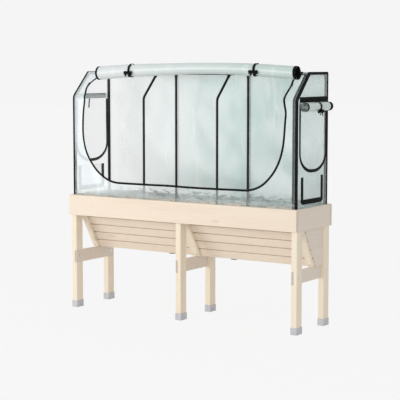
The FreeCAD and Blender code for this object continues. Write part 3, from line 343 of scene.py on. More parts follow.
FILM = clear_film("clear_film", 0.10, 0.84, (0.880, 0.930, 0.925, 1), (0.260, 0.465, 0.415, 1), 0.004)
ROLLED = clear_film("rolled_film", 0.84, 0.97, (0.850, 0.885, 0.875, 1), (0.430, 0.590, 0.530, 1), 0.0015)
WEBBING = woven("black_webbing", (0.003, 0.004, 0.004, 1), (0.013, 0.016, 0.015, 1), 0.0022)
MESH = insect_mesh()
LINER = felted_liner()
FITTING = hard_finish("fitting_plastic", "plastic", (0.006, 0.007, 0.007, 1), (0.024, 0.026, 0.026, 1), 0.42)
FOOT = hard_finish("foot_plastic", "plastic", (0.545, 0.545, 0.570, 1), (0.630, 0.630, 0.645, 1), 0.55)
ZINC = hard_finish("zinc_steel", "plate", (0.78, 0.78, 0.79, 1), (0.56, 0.57, 0.58, 1), 0.30)
ZIP_METAL = hard_finish("zip_metal", "plate", (0.055, 0.058, 0.062, 1), (0.12, 0.12, 0.125, 1), 0.34)
TUBE = hard_finish("tube_coating", "powder", (0.003, 0.004, 0.004, 1), (0.016, 0.018, 0.018, 1), 0.32)

# Lowest height and pitch of the boards
SLATS = (0.3985, 0.0577)
BACK_SLATS = (0.3965, 0.0593)
TIMBER_NODES = (
    (("front_apron_board", "front_ledge_board"), timber("x", 0)),
    (("back_apron_board", "back_ledge_board", "floor_boards"), timber("x", 2)),
    (("left_front_slats", "right_front_slats"), timber("x", 1, SLATS)),
    (("back_slats",), timber("x", 3, BACK_SLATS)),
    (("front_left_leg", "front_right_leg", "back_centre_leg"), timber("z", 0)),
    (("front_centre_leg", "back_left_leg", "back_right_leg", "slat_battens"), timber("z", 1)),
    (("left_apron_board", "right_apron_board", "left_end_panel", "right_end_panel"), timber("y", 0)),
    (("left_cross_rail", "centre_cross_rail", "right_cross_rail"), timber("y", 1, ends=0.6)),
)
FITTED_NODES = (
    (("foot_caps",), FOOT),
    (("pole_sockets", "roof_connectors", "drain_outlets"), FITTING),
    (("rail_bolts", "wood_screws"), ZINC),
    (("left_end_bow", "left_middle_bow", "right_middle_bow", "right_end_bow", "left_end_post",
      "left_middle_post", "right_middle_post", "right_end_post", "roof_bars", "top_rails"), TUBE),
)


def dress_solids():
    """Gives each solid that stays in view its own finish."""
    for names, material in TIMBER_NODES + FITTED_NODES:
        for name in names:
            data = NODES[name].data
            data.materials.clear()
            data.materials.append(material)


dress_solids()


def patch(points, around=False, loop=False, capped=False, flip=False):
    """One grid of a piece: points (rows, columns, 3); around closes its columns, loop its rows, and capped
    shuts the first and last ring of columns."""
    points = np.asarray(points, float)
    return {"points": points, "around": around, "loop": loop, "capped": capped, "flip": flip}


def tube(points):
    """A grid closed round its columns and shut at both ends."""
    return patch(points, around=True, capped=True)


def metre_map(points):
    """A grid's own map in metres: the running sum of its mean step along the rows and along the columns."""
    along = np.linalg.norm(np.diff(points, axis=0), axis=2).mean(axis=1)
    across = np.linalg.norm(np.diff(points, axis=1), axis=2).mean(axis=0)
    along = np.concatenate([[0], np.cumsum(along)])
    across = np.concatenate([[0], np.cumsum(across)])
    return np.stack(np.meshgrid(along, across, indexing="ij"), axis=-1)


def corners_of(index):
    """The four corners of every cell of a grid of numbers."""
    cells = (index[:-1, :-1], index[:-1, 1:], index[1:, 1:], index[1:, :-1])
    return np.stack(cells, axis=2).reshape(-1, 4, *index.shape[2:])


def piece(name, patches, material, body, stands_for=(), fields=None, weld=0.0, shell=False, sharp=35.0):
    """Makes one piece from its grids, drawn about the planter's middle: corners, faces, a map in metres and
    named values, one for all of it or one per corner; then joins corners nearer than weld, turns a closed
    shell outwards and shades it smooth below a sharp angle."""
    corners, faces, maps = [], [], []
    start = 0
    for grid in patches:
        points = grid["points"]
        rows, columns = points.shape[:2]
        index = np.arange(rows * columns).reshape(rows, columns) + start
        open_points = points
        if grid["around"]:
            index = np.concatenate([index, index[:, :1]], axis=1)
            open_points = np.concatenate([open_points, open_points[:, :1]], axis=1)
        if grid["loop"]:
            index = np.concatenate([index, index[:1]], axis=0)
            open_points = np.concatenate([open_points, open_points[:1]], axis=0)
        cells = corners_of(index)
        places = corners_of(metre_map(open_points))
        if grid["flip"]:
            cells, places = cells[:, ::-1], places[:, ::-1]
        faces += cells.tolist()
        maps.append(places.reshape(-1, 2))
        if grid["capped"]:
            ends = (index[0, :columns][::-1], index[-1, :columns])
            faces += [end.tolist() for end in ends]
            maps.append(np.zeros((2 * columns, 2)))
        corners.append(points.reshape(-1, 3))
        start += rows * columns
    mesh = bpy.data.meshes.new(name)
    mesh.from_pydata((np.concatenate(corners) + (MIDDLE_X, 0, 0)).tolist(), [], faces)
    mesh.uv_layers.new(name="UVMap").data.foreach_set("uv", np.concatenate(maps).ravel())
    for field, values in (fields or {}).items():
        values = np.broadcast_to(np.ravel(values), start).astype(np.float32)
        mesh.attributes.new(field, "FLOAT", "POINT").data.foreach_set("value", values)
    if weld or shell:
        work = bmesh.new()
        work.from_mesh(mesh)
        if weld:
            bmesh.ops.remove_doubles(work, verts=work.verts, dist=weld)
        if shell:
            bmesh.ops.recalc_face_normals(work, faces=work.faces)
        work.to_mesh(mesh)
        work.free()
    mesh.polygons.foreach_set("use_smooth", np.ones(len(mesh.polygons), bool))
    mesh.set_sharp_from_angle(angle=math.radians(sharp))
    mesh.materials.append(material)
    made = bpy.data.objects.new(name, mesh)
    bpy.context.scene.collection.objects.link(made)
    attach(made, body)
    if stands_for:
        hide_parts(*stands_for)
    return made


def webbing(name, patches, body, stands_for=()):
    """A piece of black woven tape."""
    return piece(name, patches, WEBBING, body, stands_for, shell=True)


def unit(vectors):
    """Vectors scaled to length 1."""
    return vectors / np.maximum(np.linalg.norm(vectors, axis=-1, keepdims=True), 1e-12)


def running(line):
    """Distance along a line of points, from 0."""
    steps = np.linalg.norm(np.diff(line, axis=0), axis=1)
    return np.concatenate([[0], np.cumsum(steps)])


def line_frame(line):
    """A flat line's unit tangents, and the normals a quarter turn to their left."""
    tangent = unit(np.gradient(line, axis=0))
    return tangent, np.stack([-tangent[:, 1], tangent[:, 0]], axis=1)


def evenly(line, count):
    """Count points evenly spaced along a line."""
    length = running(line)
    spots = np.linspace(0, length[-1], count)
    return np.stack([np.interp(spots, length, line[:, k]) for k in range(line.shape[1])], axis=1)


def arc(centre, radius, start, end, count=13):
    """Points of a circle's arc, angles in degrees."""
    angles = np.radians(np.linspace(start, end, count))
    return np.stack([centre[0] + radius * np.cos(angles), centre[1] + radius * np.sin(angles)], axis=1)


def rounded_line(corners, radii, count=9):
    """A line through corners with each inner corner cut by an arc tangent to both sides: it starts
    radius * tan(turn / 2) before the corner and swings about a centre on the corner's bisector."""
    corners = np.asarray(corners, float)
    pieces = [corners[:1]]
    for before, corner, after, radius in zip(corners[:-2], corners[1:-1], corners[2:], radii):
        leave, reach = unit(before - corner), unit(after - corner)
        half = math.acos(float(np.clip(leave @ reach, -1, 1))) / 2
        centre = corner + unit(leave + reach) * radius / math.sin(half)
        first = corner + leave * radius / math.tan(half) - centre
        last = corner + reach * radius / math.tan(half) - centre
        turn = math.atan2(first[0] * last[1] - first[1] * last[0], first @ last)
        angles = math.atan2(first[1], first[0]) + np.linspace(0, turn, count)
        pieces.append(centre + radius * np.stack([np.cos(angles), np.sin(angles)], axis=1))
    return np.concatenate(pieces + [corners[-1:]])


# A seed for each surface's ripple
SEEDS = {"wrap": 5, "door_zip": 12, "end": 23, "window_zip": 31, "vent": 41, "roll_sway": 51,
         "roll_crumple": 52, "window_roll": 62, "liner": 71}


def ripple(first, second, seed, waves=9, longest=0.55, shortest=0.10):
    """Gentle swell from about -1 to 1: a sum of sines of both places, in seeded directions, each as high as
    its wave is long."""
    draw = np.random.default_rng(seed)
    lengths = np.geomspace(longest, shortest, waves)
    heading = draw.uniform(0, TURN, waves)
    phase = draw.uniform(0, TURN, waves)
    total = np.zeros(np.broadcast(first, second).shape)
    for length, way, start in zip(lengths, heading, phase):
        across = first * math.cos(way) + second * math.sin(way)
        total = total + length * np.sin(TURN / length * across + start)
    return total / lengths.sum() * 1.6


def near(distance, reach):
    """1 at no distance, falling to 0 past reach, as a bell."""
    return np.exp(-(distance / reach) ** 2)


def swept(path, across, up, profile):
    """A profile carried along a path: its first number counts along across and its second along up."""
    across, up = (np.broadcast_to(way, path.shape)[:, None] for way in (across, up))
    return path[:, None] + across * profile[None, :, :1] + up * profile[None, :, 1:2]


def ramp(value, start, reach):
    """0 up to a start, rising straight to 1 over a reach; a negative reach rises the other way."""
    return np.clip((value - start) / reach, 0, 1)


def ruled(inner, outer, shares):
    """Ruled grid from an inner to an outer edge: each point runs straight across at the given shares."""
    shares = np.asarray(shares)[None, :, None]
    return inner[:, None, :] * (1 - shares) + outer[:, None, :] * shares


def coons(lower, right, upper, left):
    """Grid that spans four edges: the two ruled grids added, less the bilinear one of the corners."""
    across = np.linspace(0, 1, len(lower))[None, :, None]
    up = np.linspace(0, 1, len(left))[:, None, None]
    ruled_up = lower[None] * (1 - up) + upper[None] * up
    ruled_across = left[:, None] * (1 - across) + right[:, None] * across
    corner = ((lower[0] * (1 - across) + lower[-1] * across) * (1 - up)
              + (upper[0] * (1 - across) + upper[-1] * across) * up)
    return ruled_up + ruled_across - corner


FRONT_LOW, FRONT_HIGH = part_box("cover_front")
ROOF_LOW, ROOF_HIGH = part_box("cover_roof")
WRAP_X = FRONT_HIGH.x - MIDDLE_X
FRONT_Y = FRONT_LOW.y
HEM_Z = FRONT_LOW.z
ROOF_Z = ROOF_HIGH.z
ROOF_FRONT_Y = ROOF_LOW.y
BACK_Y = ROOF_HIGH.y
END_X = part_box("cover_right_end")[1].x - MIDDLE_X
SHOULDER_Z = 1.471
FOLD_RADII = (0.045, 0.016, 0.011)
# How far along the section only rises
FRONT_REACH = 0.96
ROOF_FOLD_DROP = 0.004
BACK_FOLD_EASE = 0.003
HOOPS_X = (-0.8702, -0.2901, 0.2901, 0.8702)
FILM_SWELL = 0.0055
# Share of the swell that each kind of edge takes away, and how far from it
HOOP_HOLD = (1.0, 0.07)
FOLD_HOLD = (0.8, 0.06)
HEM_HOLD = (0.75, 0.10)

SECTION = rounded_line(((FRONT_Y, HEM_Z), (FRONT_Y, SHOULDER_Z), (ROOF_FRONT_Y, ROOF_Z), (BACK_Y, ROOF_Z),
                        (BACK_Y, HEM_Z)), FOLD_RADII)
SECTION_RUN = running(SECTION)
WRAP_LENGTH = SECTION_RUN[-1]
FRONT_PART = SECTION_RUN < FRONT_REACH


def run_at(height):
    """Distance up the front of the section at which it reaches a height."""
    return float(np.interp(height, SECTION[FRONT_PART][:, 1], SECTION_RUN[FRONT_PART]))


SHOULDER_RUN = run_at(SHOULDER_Z)
ROOF_RUN = run_at(ROOF_Z - ROOF_FOLD_DROP)
BACK_RUN = WRAP_LENGTH - (ROOF_Z - HEM_Z) + BACK_FOLD_EASE


def section_at(run):
    """The section's point and outward normal at a distance along it, the normal from a short chord."""
    chord = 0.003
    points = [np.stack([np.interp(run + shift, SECTION_RUN, SECTION[:, k]) for k in (0, 1)], axis=-1)
              for shift in (-chord, 0, chord)]
    tangent = unit(points[2] - points[0])
    return points[1], np.stack([-tangent[..., 1], tangent[..., 0]], axis=-1)


def wrap_film(x, run, lift=0.0):
    """The wrapped film: the section carried along x, swelling off its normal by a ripple that dies out at the
    hoops, the folds and the hems."""
    x, run = np.broadcast_arrays(np.asarray(x, float), np.asarray(run, float))
    point, normal = section_at(run)
    held = np.ones(x.shape)
    folds = (SHOULDER_RUN, ROOF_RUN, BACK_RUN)
    for spots, edges, (share, reach) in ((x, HOOPS_X, HOOP_HOLD), (run, folds, FOLD_HOLD),
                                         (run, (0.0, WRAP_LENGTH), HEM_HOLD)):
        for edge in edges:
            held = held * (1 - share * near(spots - edge, reach))
    swell = ripple(x, run, SEEDS["wrap"]) * FILM_SWELL * held
    offset = (swell + lift)[..., None]
    return np.concatenate([x[..., None], point + normal * offset], axis=-1)


DOOR_HALF = 0.800
DOOR_CORNER = 0.300
DOOR_CORNER_TALL = (0.390, 0.370)
# Each side's drift: runs from the shoulder, and how far inwards the zip lies there
DOOR_DRIFT = {
    -1: ((-0.250, -0.175, -0.122, -0.070, -0.028, 0.024, 0.048, 0.076, 0.115, 0.140, 0.169, 0.200),
         (0.000, 0.003, 0.006, 0.013, 0.020, 0.012, 0.003, -0.004, 0.006, 0.019, 0.040, 0.046)),
    1: ((-0.580, -0.500, -0.227, -0.156, -0.110, -0.080, -0.035, -0.007, 0.029, 0.060, 0.115, 0.160, 0.200),
        (0.000, 0.0085, 0.008, 0.0035, -0.001, -0.003, 0.006, 0.0115, 0.013, 0.010, 0.006, 0.010, 0.012)),
}
DOOR_WANDER = 0.002
DOOR_LOW_RUN = run_at(0.887)
DOOR_TOP_RUN = run_at(1.624)


def elbow(centre, wide, tall, start, end, count=13):
    """Points of an ellipse's arc, angles in degrees."""
    return np.asarray(centre) + arc((0, 0), 1, start, end, count) * (wide, tall)


def door_edge(count=61):
    """The door's zip line on the film, in x and run, as its left, lower and right parts, each parted from the
    next half way round a lower corner; each side drifts inwards by a table of runs from the shoulder."""
    corners = []
    for side, tall in zip((-1, 1), DOOR_CORNER_TALL):
        pivot = (side * (DOOR_HALF - DOOR_CORNER), DOOR_LOW_RUN + tall)
        corners.append([elbow(pivot, side * DOOR_CORNER, tall, *angles) for angles in ((0, -45), (-45, -90))])
    ends = []
    for side, corner in zip((-1, 1), corners):
        run = np.linspace(DOOR_TOP_RUN, corner[0][0, 1], 60)
        ends.append(np.concatenate([np.stack([np.full(60, side * DOOR_HALF), run], axis=1), corner[0][1:]]))
    lower = np.concatenate([corners[0][1], corners[1][1][::-1]])
    parts = []
    for part in (ends[0], lower, ends[1][::-1]):
        for side, table in DOOR_DRIFT.items():
            inward = np.interp(part[:, 1] - SHOULDER_RUN, *table)
            part[:, 0] -= np.where(side * part[:, 0] > 0, side * inward, 0)
        parts.append(evenly(part, count))
    return parts


def wander(line, seed, reach):
    """A zip line that isn't dead straight: each point shifted across by a slow ripple, held at both ends."""
    shift = ripple(running(line), np.zeros(len(line)), seed, 5, 0.7, 0.18) * reach
    shift = shift * np.sin(np.linspace(0, math.pi, len(line))) ** 0.35
    return line + line_frame(line)[1] * shift[:, None]


DOOR_PARTS = door_edge()
DOOR_LINE = np.concatenate([DOOR_PARTS[0], DOOR_PARTS[1][1:], DOOR_PARTS[2][1:]])
DOOR_LINE = wander(DOOR_LINE, SEEDS["door_zip"], DOOR_WANDER)

SPLASH_HEIGHT = 0.046
SPLASH_FADE = 0.034


def hem_share(height):
    """How far the film at a height over its hem is splashed and crumpled: all of it low down, none above."""
    return 1 - ramp(height, SPLASH_HEIGHT, SPLASH_FADE)


# Along the length, haze and painted shade that grey the film towards the right: the least haze, its gain,
# where it starts, its reach and its power
WRAP_HAZE_AND_SHADE = (0.03, 0.82, -0.87, 1.15, 0.6)
ROLL_HAZE_AND_SHADE = (0.05, 0.65, -0.75, 1.6, 1.3)


def haze_and_shade_along(x, haze):
    """How hazy and how shaded a film is painted at a place along the length: clear and pale at the left end,
    rising as a power towards the right.
    """
    least, gain, start, reach, power = haze
    return least + gain * ramp(x, start, reach) ** power


def corner_loss(wide, tall):
    """Area that rounded corners of one width, whose heights add up to tall, take off a rectangle."""
    return (1 - math.pi / 4) * wide * tall


WELD = 1e-5
# How far each kind of weld or hem reaches into the film
END_SEAM = 0.010
PIPING_SEAM = 0.012
HEM_SEAM = 0.022
FOLD_SEAM = 0.007
# Painted light: the front film is painted whiter and more solid at its left end, and clear from here on
PAINTED_LIGHT_END_X = -0.20
PAINTED_LIGHT_REACH = 0.45
PAINTED_LIGHT_SEAM = 1.9
PAINTED_LIGHT_EDGE = -0.850
PAINTED_LIGHT_LOW_RUN = 0.47
PAINTED_LIGHT_LINE = -0.8645
PAINTED_LIGHT_LINE_SHARE = 0.45
FRONT_HAZE = 0.20
THIN_FILM_X = 0.838


def joined(**fields):
    """Each named value's grids as one row of numbers."""
    return {name: np.concatenate([grid.ravel() for grid in grids]) for name, grids in fields.items()}


def make_wrap():
    """One film from the front hem over the roof to the back hem, with the door's hole: a ruled grid round the
    hole and a straight grid above it, joined along the hole's top line."""
    shares = np.linspace(0, 1, 15) ** 1.15
    per_part = len(DOOR_PARTS[0])
    outer = [np.array(((-WRAP_X, DOOR_TOP_RUN), (-WRAP_X, 0))), np.array(((-WRAP_X, 0), (WRAP_X, 0))),
             np.array(((WRAP_X, 0), (WRAP_X, DOOR_TOP_RUN)))]
    outer = [evenly(edge, per_part) for edge in outer]
    outer = np.concatenate([outer[0], outer[1][1:], outer[2][1:]])
    ring = ruled(DOOR_LINE, outer, shares)
    left, right = DOOR_LINE[0, 0], DOOR_LINE[-1, 0]
    across = np.concatenate([(left + (-WRAP_X - left) * shares)[::-1], np.linspace(left, right, 81)[1:-1],
                             right + (WRAP_X - right) * shares])
    rises = np.concatenate([np.arange(DOOR_TOP_RUN, WRAP_LENGTH, 0.013), SECTION_RUN, [WRAP_LENGTH]])
    rises = np.unique(np.round(rises[rises >= DOOR_TOP_RUN], 5))
    rises[0], rises[-1] = DOOR_TOP_RUN, WRAP_LENGTH
    upper = np.stack(np.meshgrid(across, rises, indexing="ij"), axis=-1)
    seams, hems, veils, patches = [], [], [], []
    for flat, flip in ((ring, False), (upper, True)):
        x, run = flat[..., 0], flat[..., 1]
        hem_part = hem_share(np.minimum(run, WRAP_LENGTH - run))
        # Painted light: the front film turns whiter and more solid towards its left end, held off low down by
        # the left edge and along a thin line there, and less on the hem
        clear_edge = ramp(x, PAINTED_LIGHT_EDGE, -0.006) * ramp(run, PAINTED_LIGHT_LOW_RUN, -0.2)
        clear_edge = np.maximum(clear_edge, PAINTED_LIGHT_LINE_SHARE * near(x - PAINTED_LIGHT_LINE, 0.005))
        painted_light = ramp(x, PAINTED_LIGHT_END_X, -PAINTED_LIGHT_REACH) * PAINTED_LIGHT_SEAM * (1 - 0.8 * clear_edge) * (1 - 0.6 * hem_part)
        painted_light = np.where(run < ROOF_RUN, painted_light, 0)
        lines = ((0.0, HEM_SEAM), (WRAP_LENGTH, HEM_SEAM), (ROOF_RUN, FOLD_SEAM), (BACK_RUN, FOLD_SEAM))
        seam = np.maximum.reduce([painted_light, near(WRAP_X - np.abs(x), END_SEAM)]
                                 + [near(run - line, reach) for line, reach in lines])
        patches.append(patch(wrap_film(x, run), flip=flip))
        seams.append(seam)
        hems.append(hem_part)
        # Veil: haze, and painted shade that greys the film towards the right; the front film takes only a
        # share of it, and none in its strip by the right hoop
        front_haze = FRONT_HAZE * (1 - ramp(x, THIN_FILM_X, 0.008))
        veils.append(haze_and_shade_along(x, WRAP_HAZE_AND_SHADE) * np.where(run < ROOF_RUN, front_haze, 1.0))
    stands_for = ("cover_front", "cover_roof", "cover_back")
    film = piece("cover_wrap_film", patches, FILM, "cover", stands_for,
                 joined(seam=seams, hem=hems, veil=veils), weld=WELD)


make_wrap()

TAPE_HALF = 0.0072
WINDOW_TAPE_HALF = 0.0105
TAPE_THICK = 0.0012
TOOTH_PITCH = 0.0042
TOOTH_OFFSET = 0.0036
TOOTH_SIZE = (0.0026, 0.0030, 0.0018)


def tape_profile(half, thick, count=4):
    """A flat tape's section, across and up: a rectangle with rounded edges, closed."""
    right = arc((half - thick / 2, thick / 2), thick / 2, -90, 90, count)
    left = arc((-half + thick / 2, thick / 2), thick / 2, 90, 270, count)
    return np.concatenate([right, left])


def laid_tape(place, line, profile, lift=0.0002):
    """A profile carried along a line on a film: across by the line's own normal, up by the film's."""
    normal = line_frame(line)[1]
    spread = line[:, None, :] + normal[:, None, :] * profile[None, :, :1]
    height = np.broadcast_to(profile[None, :, 1], spread.shape[:2])
    return place(spread[..., 0], spread[..., 1], height + lift)


def zip_teeth(name, place, line):
    """Zip teeth along a line on a film: small blocks, each narrower at its top, a pitch apart."""
    centre = evenly(line, int(running(line)[-1] / TOOTH_PITCH))
    tangent, normal = line_frame(centre)
    along, wide, high = TOOTH_SIZE
    block = np.array([(a * along * t, b * wide * t, h) for h, t in ((0.0, 0.5), (high, 0.34))
                      for a, b in ((-1, -1), (1, -1), (1, 1), (-1, 1))])
    spread = (centre[:, None] + tangent[:, None] * block[None, :, :1]
              + normal[:, None] * (block[None, :, 1:2] + TOOTH_OFFSET))
    height = np.broadcast_to(block[None, :, 2], spread.shape[:2])
    points = place(spread[..., 0], spread[..., 1], height + TAPE_THICK * 0.6)
    teeth = [tube(tooth.reshape(2, 4, 3)) for tooth in points]
    piece(name, teeth, FITTING, "cover", shell=True, sharp=20)


def make_front_zip():
    """The cover's half of the door zip: a black tape round the door's hole with its row of teeth inside."""
    line = evenly(DOOR_LINE, 260)
    tape = laid_tape(wrap_film, line, tape_profile(TAPE_HALF, TAPE_THICK))
    webbing("front_zip_tape_woven", [tube(tape)], "cover", ("front_zip_tape",))
    zip_teeth("front_zip_teeth", wrap_film, line)


make_front_zip()

WINDOW_Y = (-0.164, 0.178)
WINDOW_Z = (1.018, 1.450)
WINDOW_CORNER = (0.155, 0.118)
WINDOW_SIZE = (WINDOW_Y[1] - WINDOW_Y[0], WINDOW_Z[1] - WINDOW_Z[0])
WINDOW_AREA = WINDOW_SIZE[0] * WINDOW_SIZE[1] - corner_loss(WINDOW_CORNER[0], 2 * WINDOW_CORNER[1])
VENT_HOLE_Y = (-0.120, 0.114)
VENT_HOLE_Z = (0.841, 0.957)
VENT_HOLE_SIZE = (VENT_HOLE_Y[1] - VENT_HOLE_Y[0], VENT_HOLE_Z[1] - VENT_HOLE_Z[0])
SCREEN_DEPTH = 0.0003
END_SAG = 0.0035
WINDOW_WANDER = 0.003
PARTING_Z = 1.0015
BAND_HALF = 0.0175
END_COLUMNS = 33


def at_end(side, out, y, z):
    """Points at one end of the cover, a distance out from the planter's middle."""
    return np.stack(np.broadcast_arrays(side * out, y, z), axis=-1)


def end_film(side):
    """The film of one end: an upright plane that sags inwards between its edges by a ripple."""
    def place(y, z, lift=0.0):
        edge = np.minimum(np.minimum(y - FRONT_Y, BACK_Y - y), z - HEM_Z)
        slope = ((y - FRONT_Y) - (z - SHOULDER_Z) * (ROOF_FRONT_Y - FRONT_Y) / (ROOF_Z - SHOULDER_Z)) * 0.72
        edge = np.clip(np.minimum(np.minimum(edge, slope), ROOF_Z - z), 0, None)
        held = 1 - near(edge, 0.05)
        sag = (ripple(y, z, SEEDS["end"] + side, 8, 0.42, 0.09) * 0.5 + 0.5) * END_SAG * held
        return at_end(side, END_X - sag + lift, y, z)
    return place


def hole_parts(y_span, z_span, low_corner, high_corner, count):
    """A hole's edge as its lower, right, upper and left parts, parted at the middles of its corners, which
    are quarter ellipses of a width and a height; the lower and upper parts run front to back and the right
    and left ones upwards."""
    (front, back), (low, high) = y_span, z_span

    def corner(y, z, start, end):
        size = low_corner if z == low else high_corner
        inner = (y + size[0] if y == front else y - size[0], z + size[1] if z == low else z - size[1])
        return elbow(inner, *size, start, end)

    sweeps = (((front, low, 225, 270), (back, low, 270, 315)),
              ((back, low, 315, 360), (back, high, 0, 45)),
              ((front, high, 135, 90), (back, high, 90, 45)),
              ((front, low, 225, 180), (front, high, 180, 135)))
    return [evenly(np.concatenate([corner(*sweep) for sweep in part]), count) for part in sweeps]


def box_parts(y_span, z_span, count):
    """A rectangle's edge in the same four parts."""
    (front, back), (low, high) = y_span, z_span
    ends = (((front, low), (back, low)), ((back, low), (back, high)), ((front, high), (back, high)),
            ((front, low), (front, high)))
    return [evenly(np.array(part, float), count) for part in ends]


def loop_of(parts):
    """Four parts of an edge as one closed run: lower, right, upper back again, left down again."""
    lower, right, upper, left = parts
    return np.concatenate([lower[:-1], right[:-1], upper[::-1][:-1], left[::-1]])


SHARP_CORNER = (0.005, 0.005)
WINDOW_PARTS = hole_parts(WINDOW_Y, WINDOW_Z, WINDOW_CORNER, SHARP_CORNER, END_COLUMNS)
VENT_PARTS = hole_parts(VENT_HOLE_Y, VENT_HOLE_Z, SHARP_CORNER, SHARP_CORNER, END_COLUMNS)
# Haze of the ends' film and of their gables above the window, higher on the right end as painted shade
END_HAZE_AND_SHADE = {"left": 0.02, "right": 0.20}
GABLE_HAZE_AND_SHADE = {"left": 0.0, "right": 0.16}
VENT_HAZE = {"left": 0.02, "right": 0.06}
MESH_VEIL = {"left": 0.20, "right": 0.92}
BAND_BACKING = {"left": 2.0, "right": 0.0}
BAND_FRONT_END = {"left": -0.186, "right": -0.170}
BAND_BACK_END = {"left": 0.166, "right": 0.186}


def make_end(side, name):
    """One end of the cover: ruled grids round its vent hole and its window hole, and above them a grid that
    spans the sloped and the level edge."""
    place = end_film(side)
    shares = np.linspace(0, 1, 11)
    rings = []
    for hole, heights in ((VENT_PARTS, (HEM_Z, PARTING_Z)), (WINDOW_PARTS, (PARTING_Z, SHOULDER_Z))):
        outline = loop_of(box_parts((FRONT_Y, BACK_Y), heights, END_COLUMNS))
        rings.append(ruled(loop_of(hole), outline, shares))
    slope = rounded_line(((FRONT_Y, SHOULDER_Z), (ROOF_FRONT_Y, ROOF_Z), (0, ROOF_Z)), (FOLD_RADII[1],))
    cut = int(np.argmin(np.abs(slope[:, 0] - ROOF_FRONT_Y)))
    back = rounded_line(((BACK_Y, SHOULDER_Z), (BACK_Y, ROOF_Z), (0, ROOF_Z)), (FOLD_RADII[2],))
    top_back = len(back) - 5
    left = evenly(slope[:cut + 1], 15)
    right = evenly(back[:top_back], 15)
    level = np.concatenate([slope[cut:-1], back[top_back - 1:-1][::-1]])
    lower = evenly(np.array(((FRONT_Y, SHOULDER_Z), (BACK_Y, SHOULDER_Z))), END_COLUMNS)
    gable = coons(lower, right, evenly(level, END_COLUMNS), left)
    patches, seams, hems, veils = [], [], [], []
    for flat, flip in ((rings[0], side > 0), (rings[1], side > 0), (gable, side < 0)):
        y, z = flat[..., 0], flat[..., 1]
        edge = np.minimum(np.minimum(y - FRONT_Y, BACK_Y - y), ROOF_Z - z)
        backing = BAND_BACKING[name] * near(z - WINDOW_Z[1] - BAND_HALF + 0.004, BAND_HALF)
        seam = np.maximum.reduce([near(np.clip(edge, 0, None), PIPING_SEAM), near(z - HEM_Z, HEM_SEAM),
                                  backing])
        patches.append(patch(place(y, z), flip=flip))
        seams.append(seam)
        hems.append(0.6 * hem_share(z - HEM_Z))
        # Haze, and painted shade on the right end and its gable
        veils.append(END_HAZE_AND_SHADE[name] + GABLE_HAZE_AND_SHADE[name] * ramp(z, WINDOW_Z[1], 2 * BAND_HALF))
    film = piece(f"cover_{name}_film", patches, FILM, "cover", (f"cover_{name}_end",),
                 joined(seam=seams, hem=hems, veil=veils), weld=WELD)


def make_screens(side, name):
    """Insect mesh in the window's and the vent's holes: grids that span the four parts of each edge."""
    place = end_film(side)
    for hole, parts, size, area in (("window", WINDOW_PARTS, WINDOW_SIZE, WINDOW_AREA),
                                    ("vent", VENT_PARTS, VENT_HOLE_SIZE, None)):
        flat = coons(*parts)
        net = patch(place(flat[..., 0], flat[..., 1], -SCREEN_DEPTH), flip=side < 0)
        mesh = piece(f"{name}_{hole}_screen", [net], MESH, "cover", ("mesh_screens",),
                     {"veil": MESH_VEIL[name]})


def make_end_webbing(side, name):
    """Black webbing over the end window and the zip tape round its other sides, with the zip's teeth."""
    place = end_film(side)
    lower, right, _, left = WINDOW_PARTS
    line = evenly(np.concatenate([left[::-1][:-1], lower[:-1], right]), 900)
    line = evenly(line[line[:, 1] < WINDOW_Z[1] - SHARP_CORNER[1]], 150)
    line = wander(line, SEEDS["window_zip"] + side, WINDOW_WANDER)
    zip_tape = laid_tape(place, line, tape_profile(WINDOW_TAPE_HALF, TAPE_THICK))
    band_y = np.linspace(BAND_FRONT_END[name], BAND_BACK_END[name], 40)
    band_line = np.stack([band_y, np.full(40, WINDOW_Z[1] + BAND_HALF)], axis=1)
    band = laid_tape(place, band_line, tape_profile(BAND_HALF, TAPE_THICK), 0.0004)
    webbing(f"{name}_end_webbing", [tube(zip_tape), tube(band)], "cover", ("end_webbing",))
    zip_teeth(f"{name}_window_zip_teeth", place, line)


PIPING_WIDTH = 0.0150
PIPING_TURN = 0.0120
PIPING_PROFILE = np.array(((-PIPING_WIDTH, 0.0002), (-PIPING_WIDTH + 0.0006, 0.0013), (-0.0015, 0.0016),
                           (0.0006, 0.0014), (0.0015, 0.0002), (0.0016, -PIPING_TURN), (0.0002, -PIPING_TURN),
                           (0.0002, -0.0006), (-0.0006, 0.0002)))


def make_piping(side, name):
    """Black binding folded over the cover's corner: an angle-shaped section, a bead at its corner, carried up
    the front, over the roof and down the back."""
    run = np.unique(np.concatenate([np.linspace(0, WRAP_LENGTH, 150), SECTION_RUN]))
    point, normal = section_at(run)
    flat = point[:, None] + normal[:, None] * PIPING_PROFILE[None, :, :1]
    x = np.broadcast_to(side * (END_X + PIPING_PROFILE[None, :, 1]), flat.shape[:2])
    points = np.concatenate([x[..., None], flat], axis=-1)
    webbing(f"{name}_end_piping", [tube(points)], "cover", ("end_piping",))


VENT_Y = (-0.148, 0.142)
VENT_Z = (0.813, 0.985)
VENT_X = 0.8822
VENT_BORDER = 0.031
VENT_CORNER = 0.009
VENT_BOW = 0.0016
VENT_RIPPLE = 0.0004
VENT_BINDING_THICK = 0.0016


def vent_film(side):
    """The vent's flap: a plane that bows out a little in its middle and towards its free lower edge."""
    def place(y, z, lift=0.0):
        across = ramp(y, VENT_Y[0], VENT_Y[1] - VENT_Y[0])
        down = ramp(z, VENT_Z[1], VENT_Z[0] - VENT_Z[1])
        bow = np.sin(math.pi * across) * np.sin(math.pi / 2 * down)
        bow = VENT_BOW * bow + VENT_RIPPLE * ripple(y, z, SEEDS["vent"] + side, 6, 0.12, 0.04)
        return at_end(side, VENT_X + bow + lift, y, z)
    return place


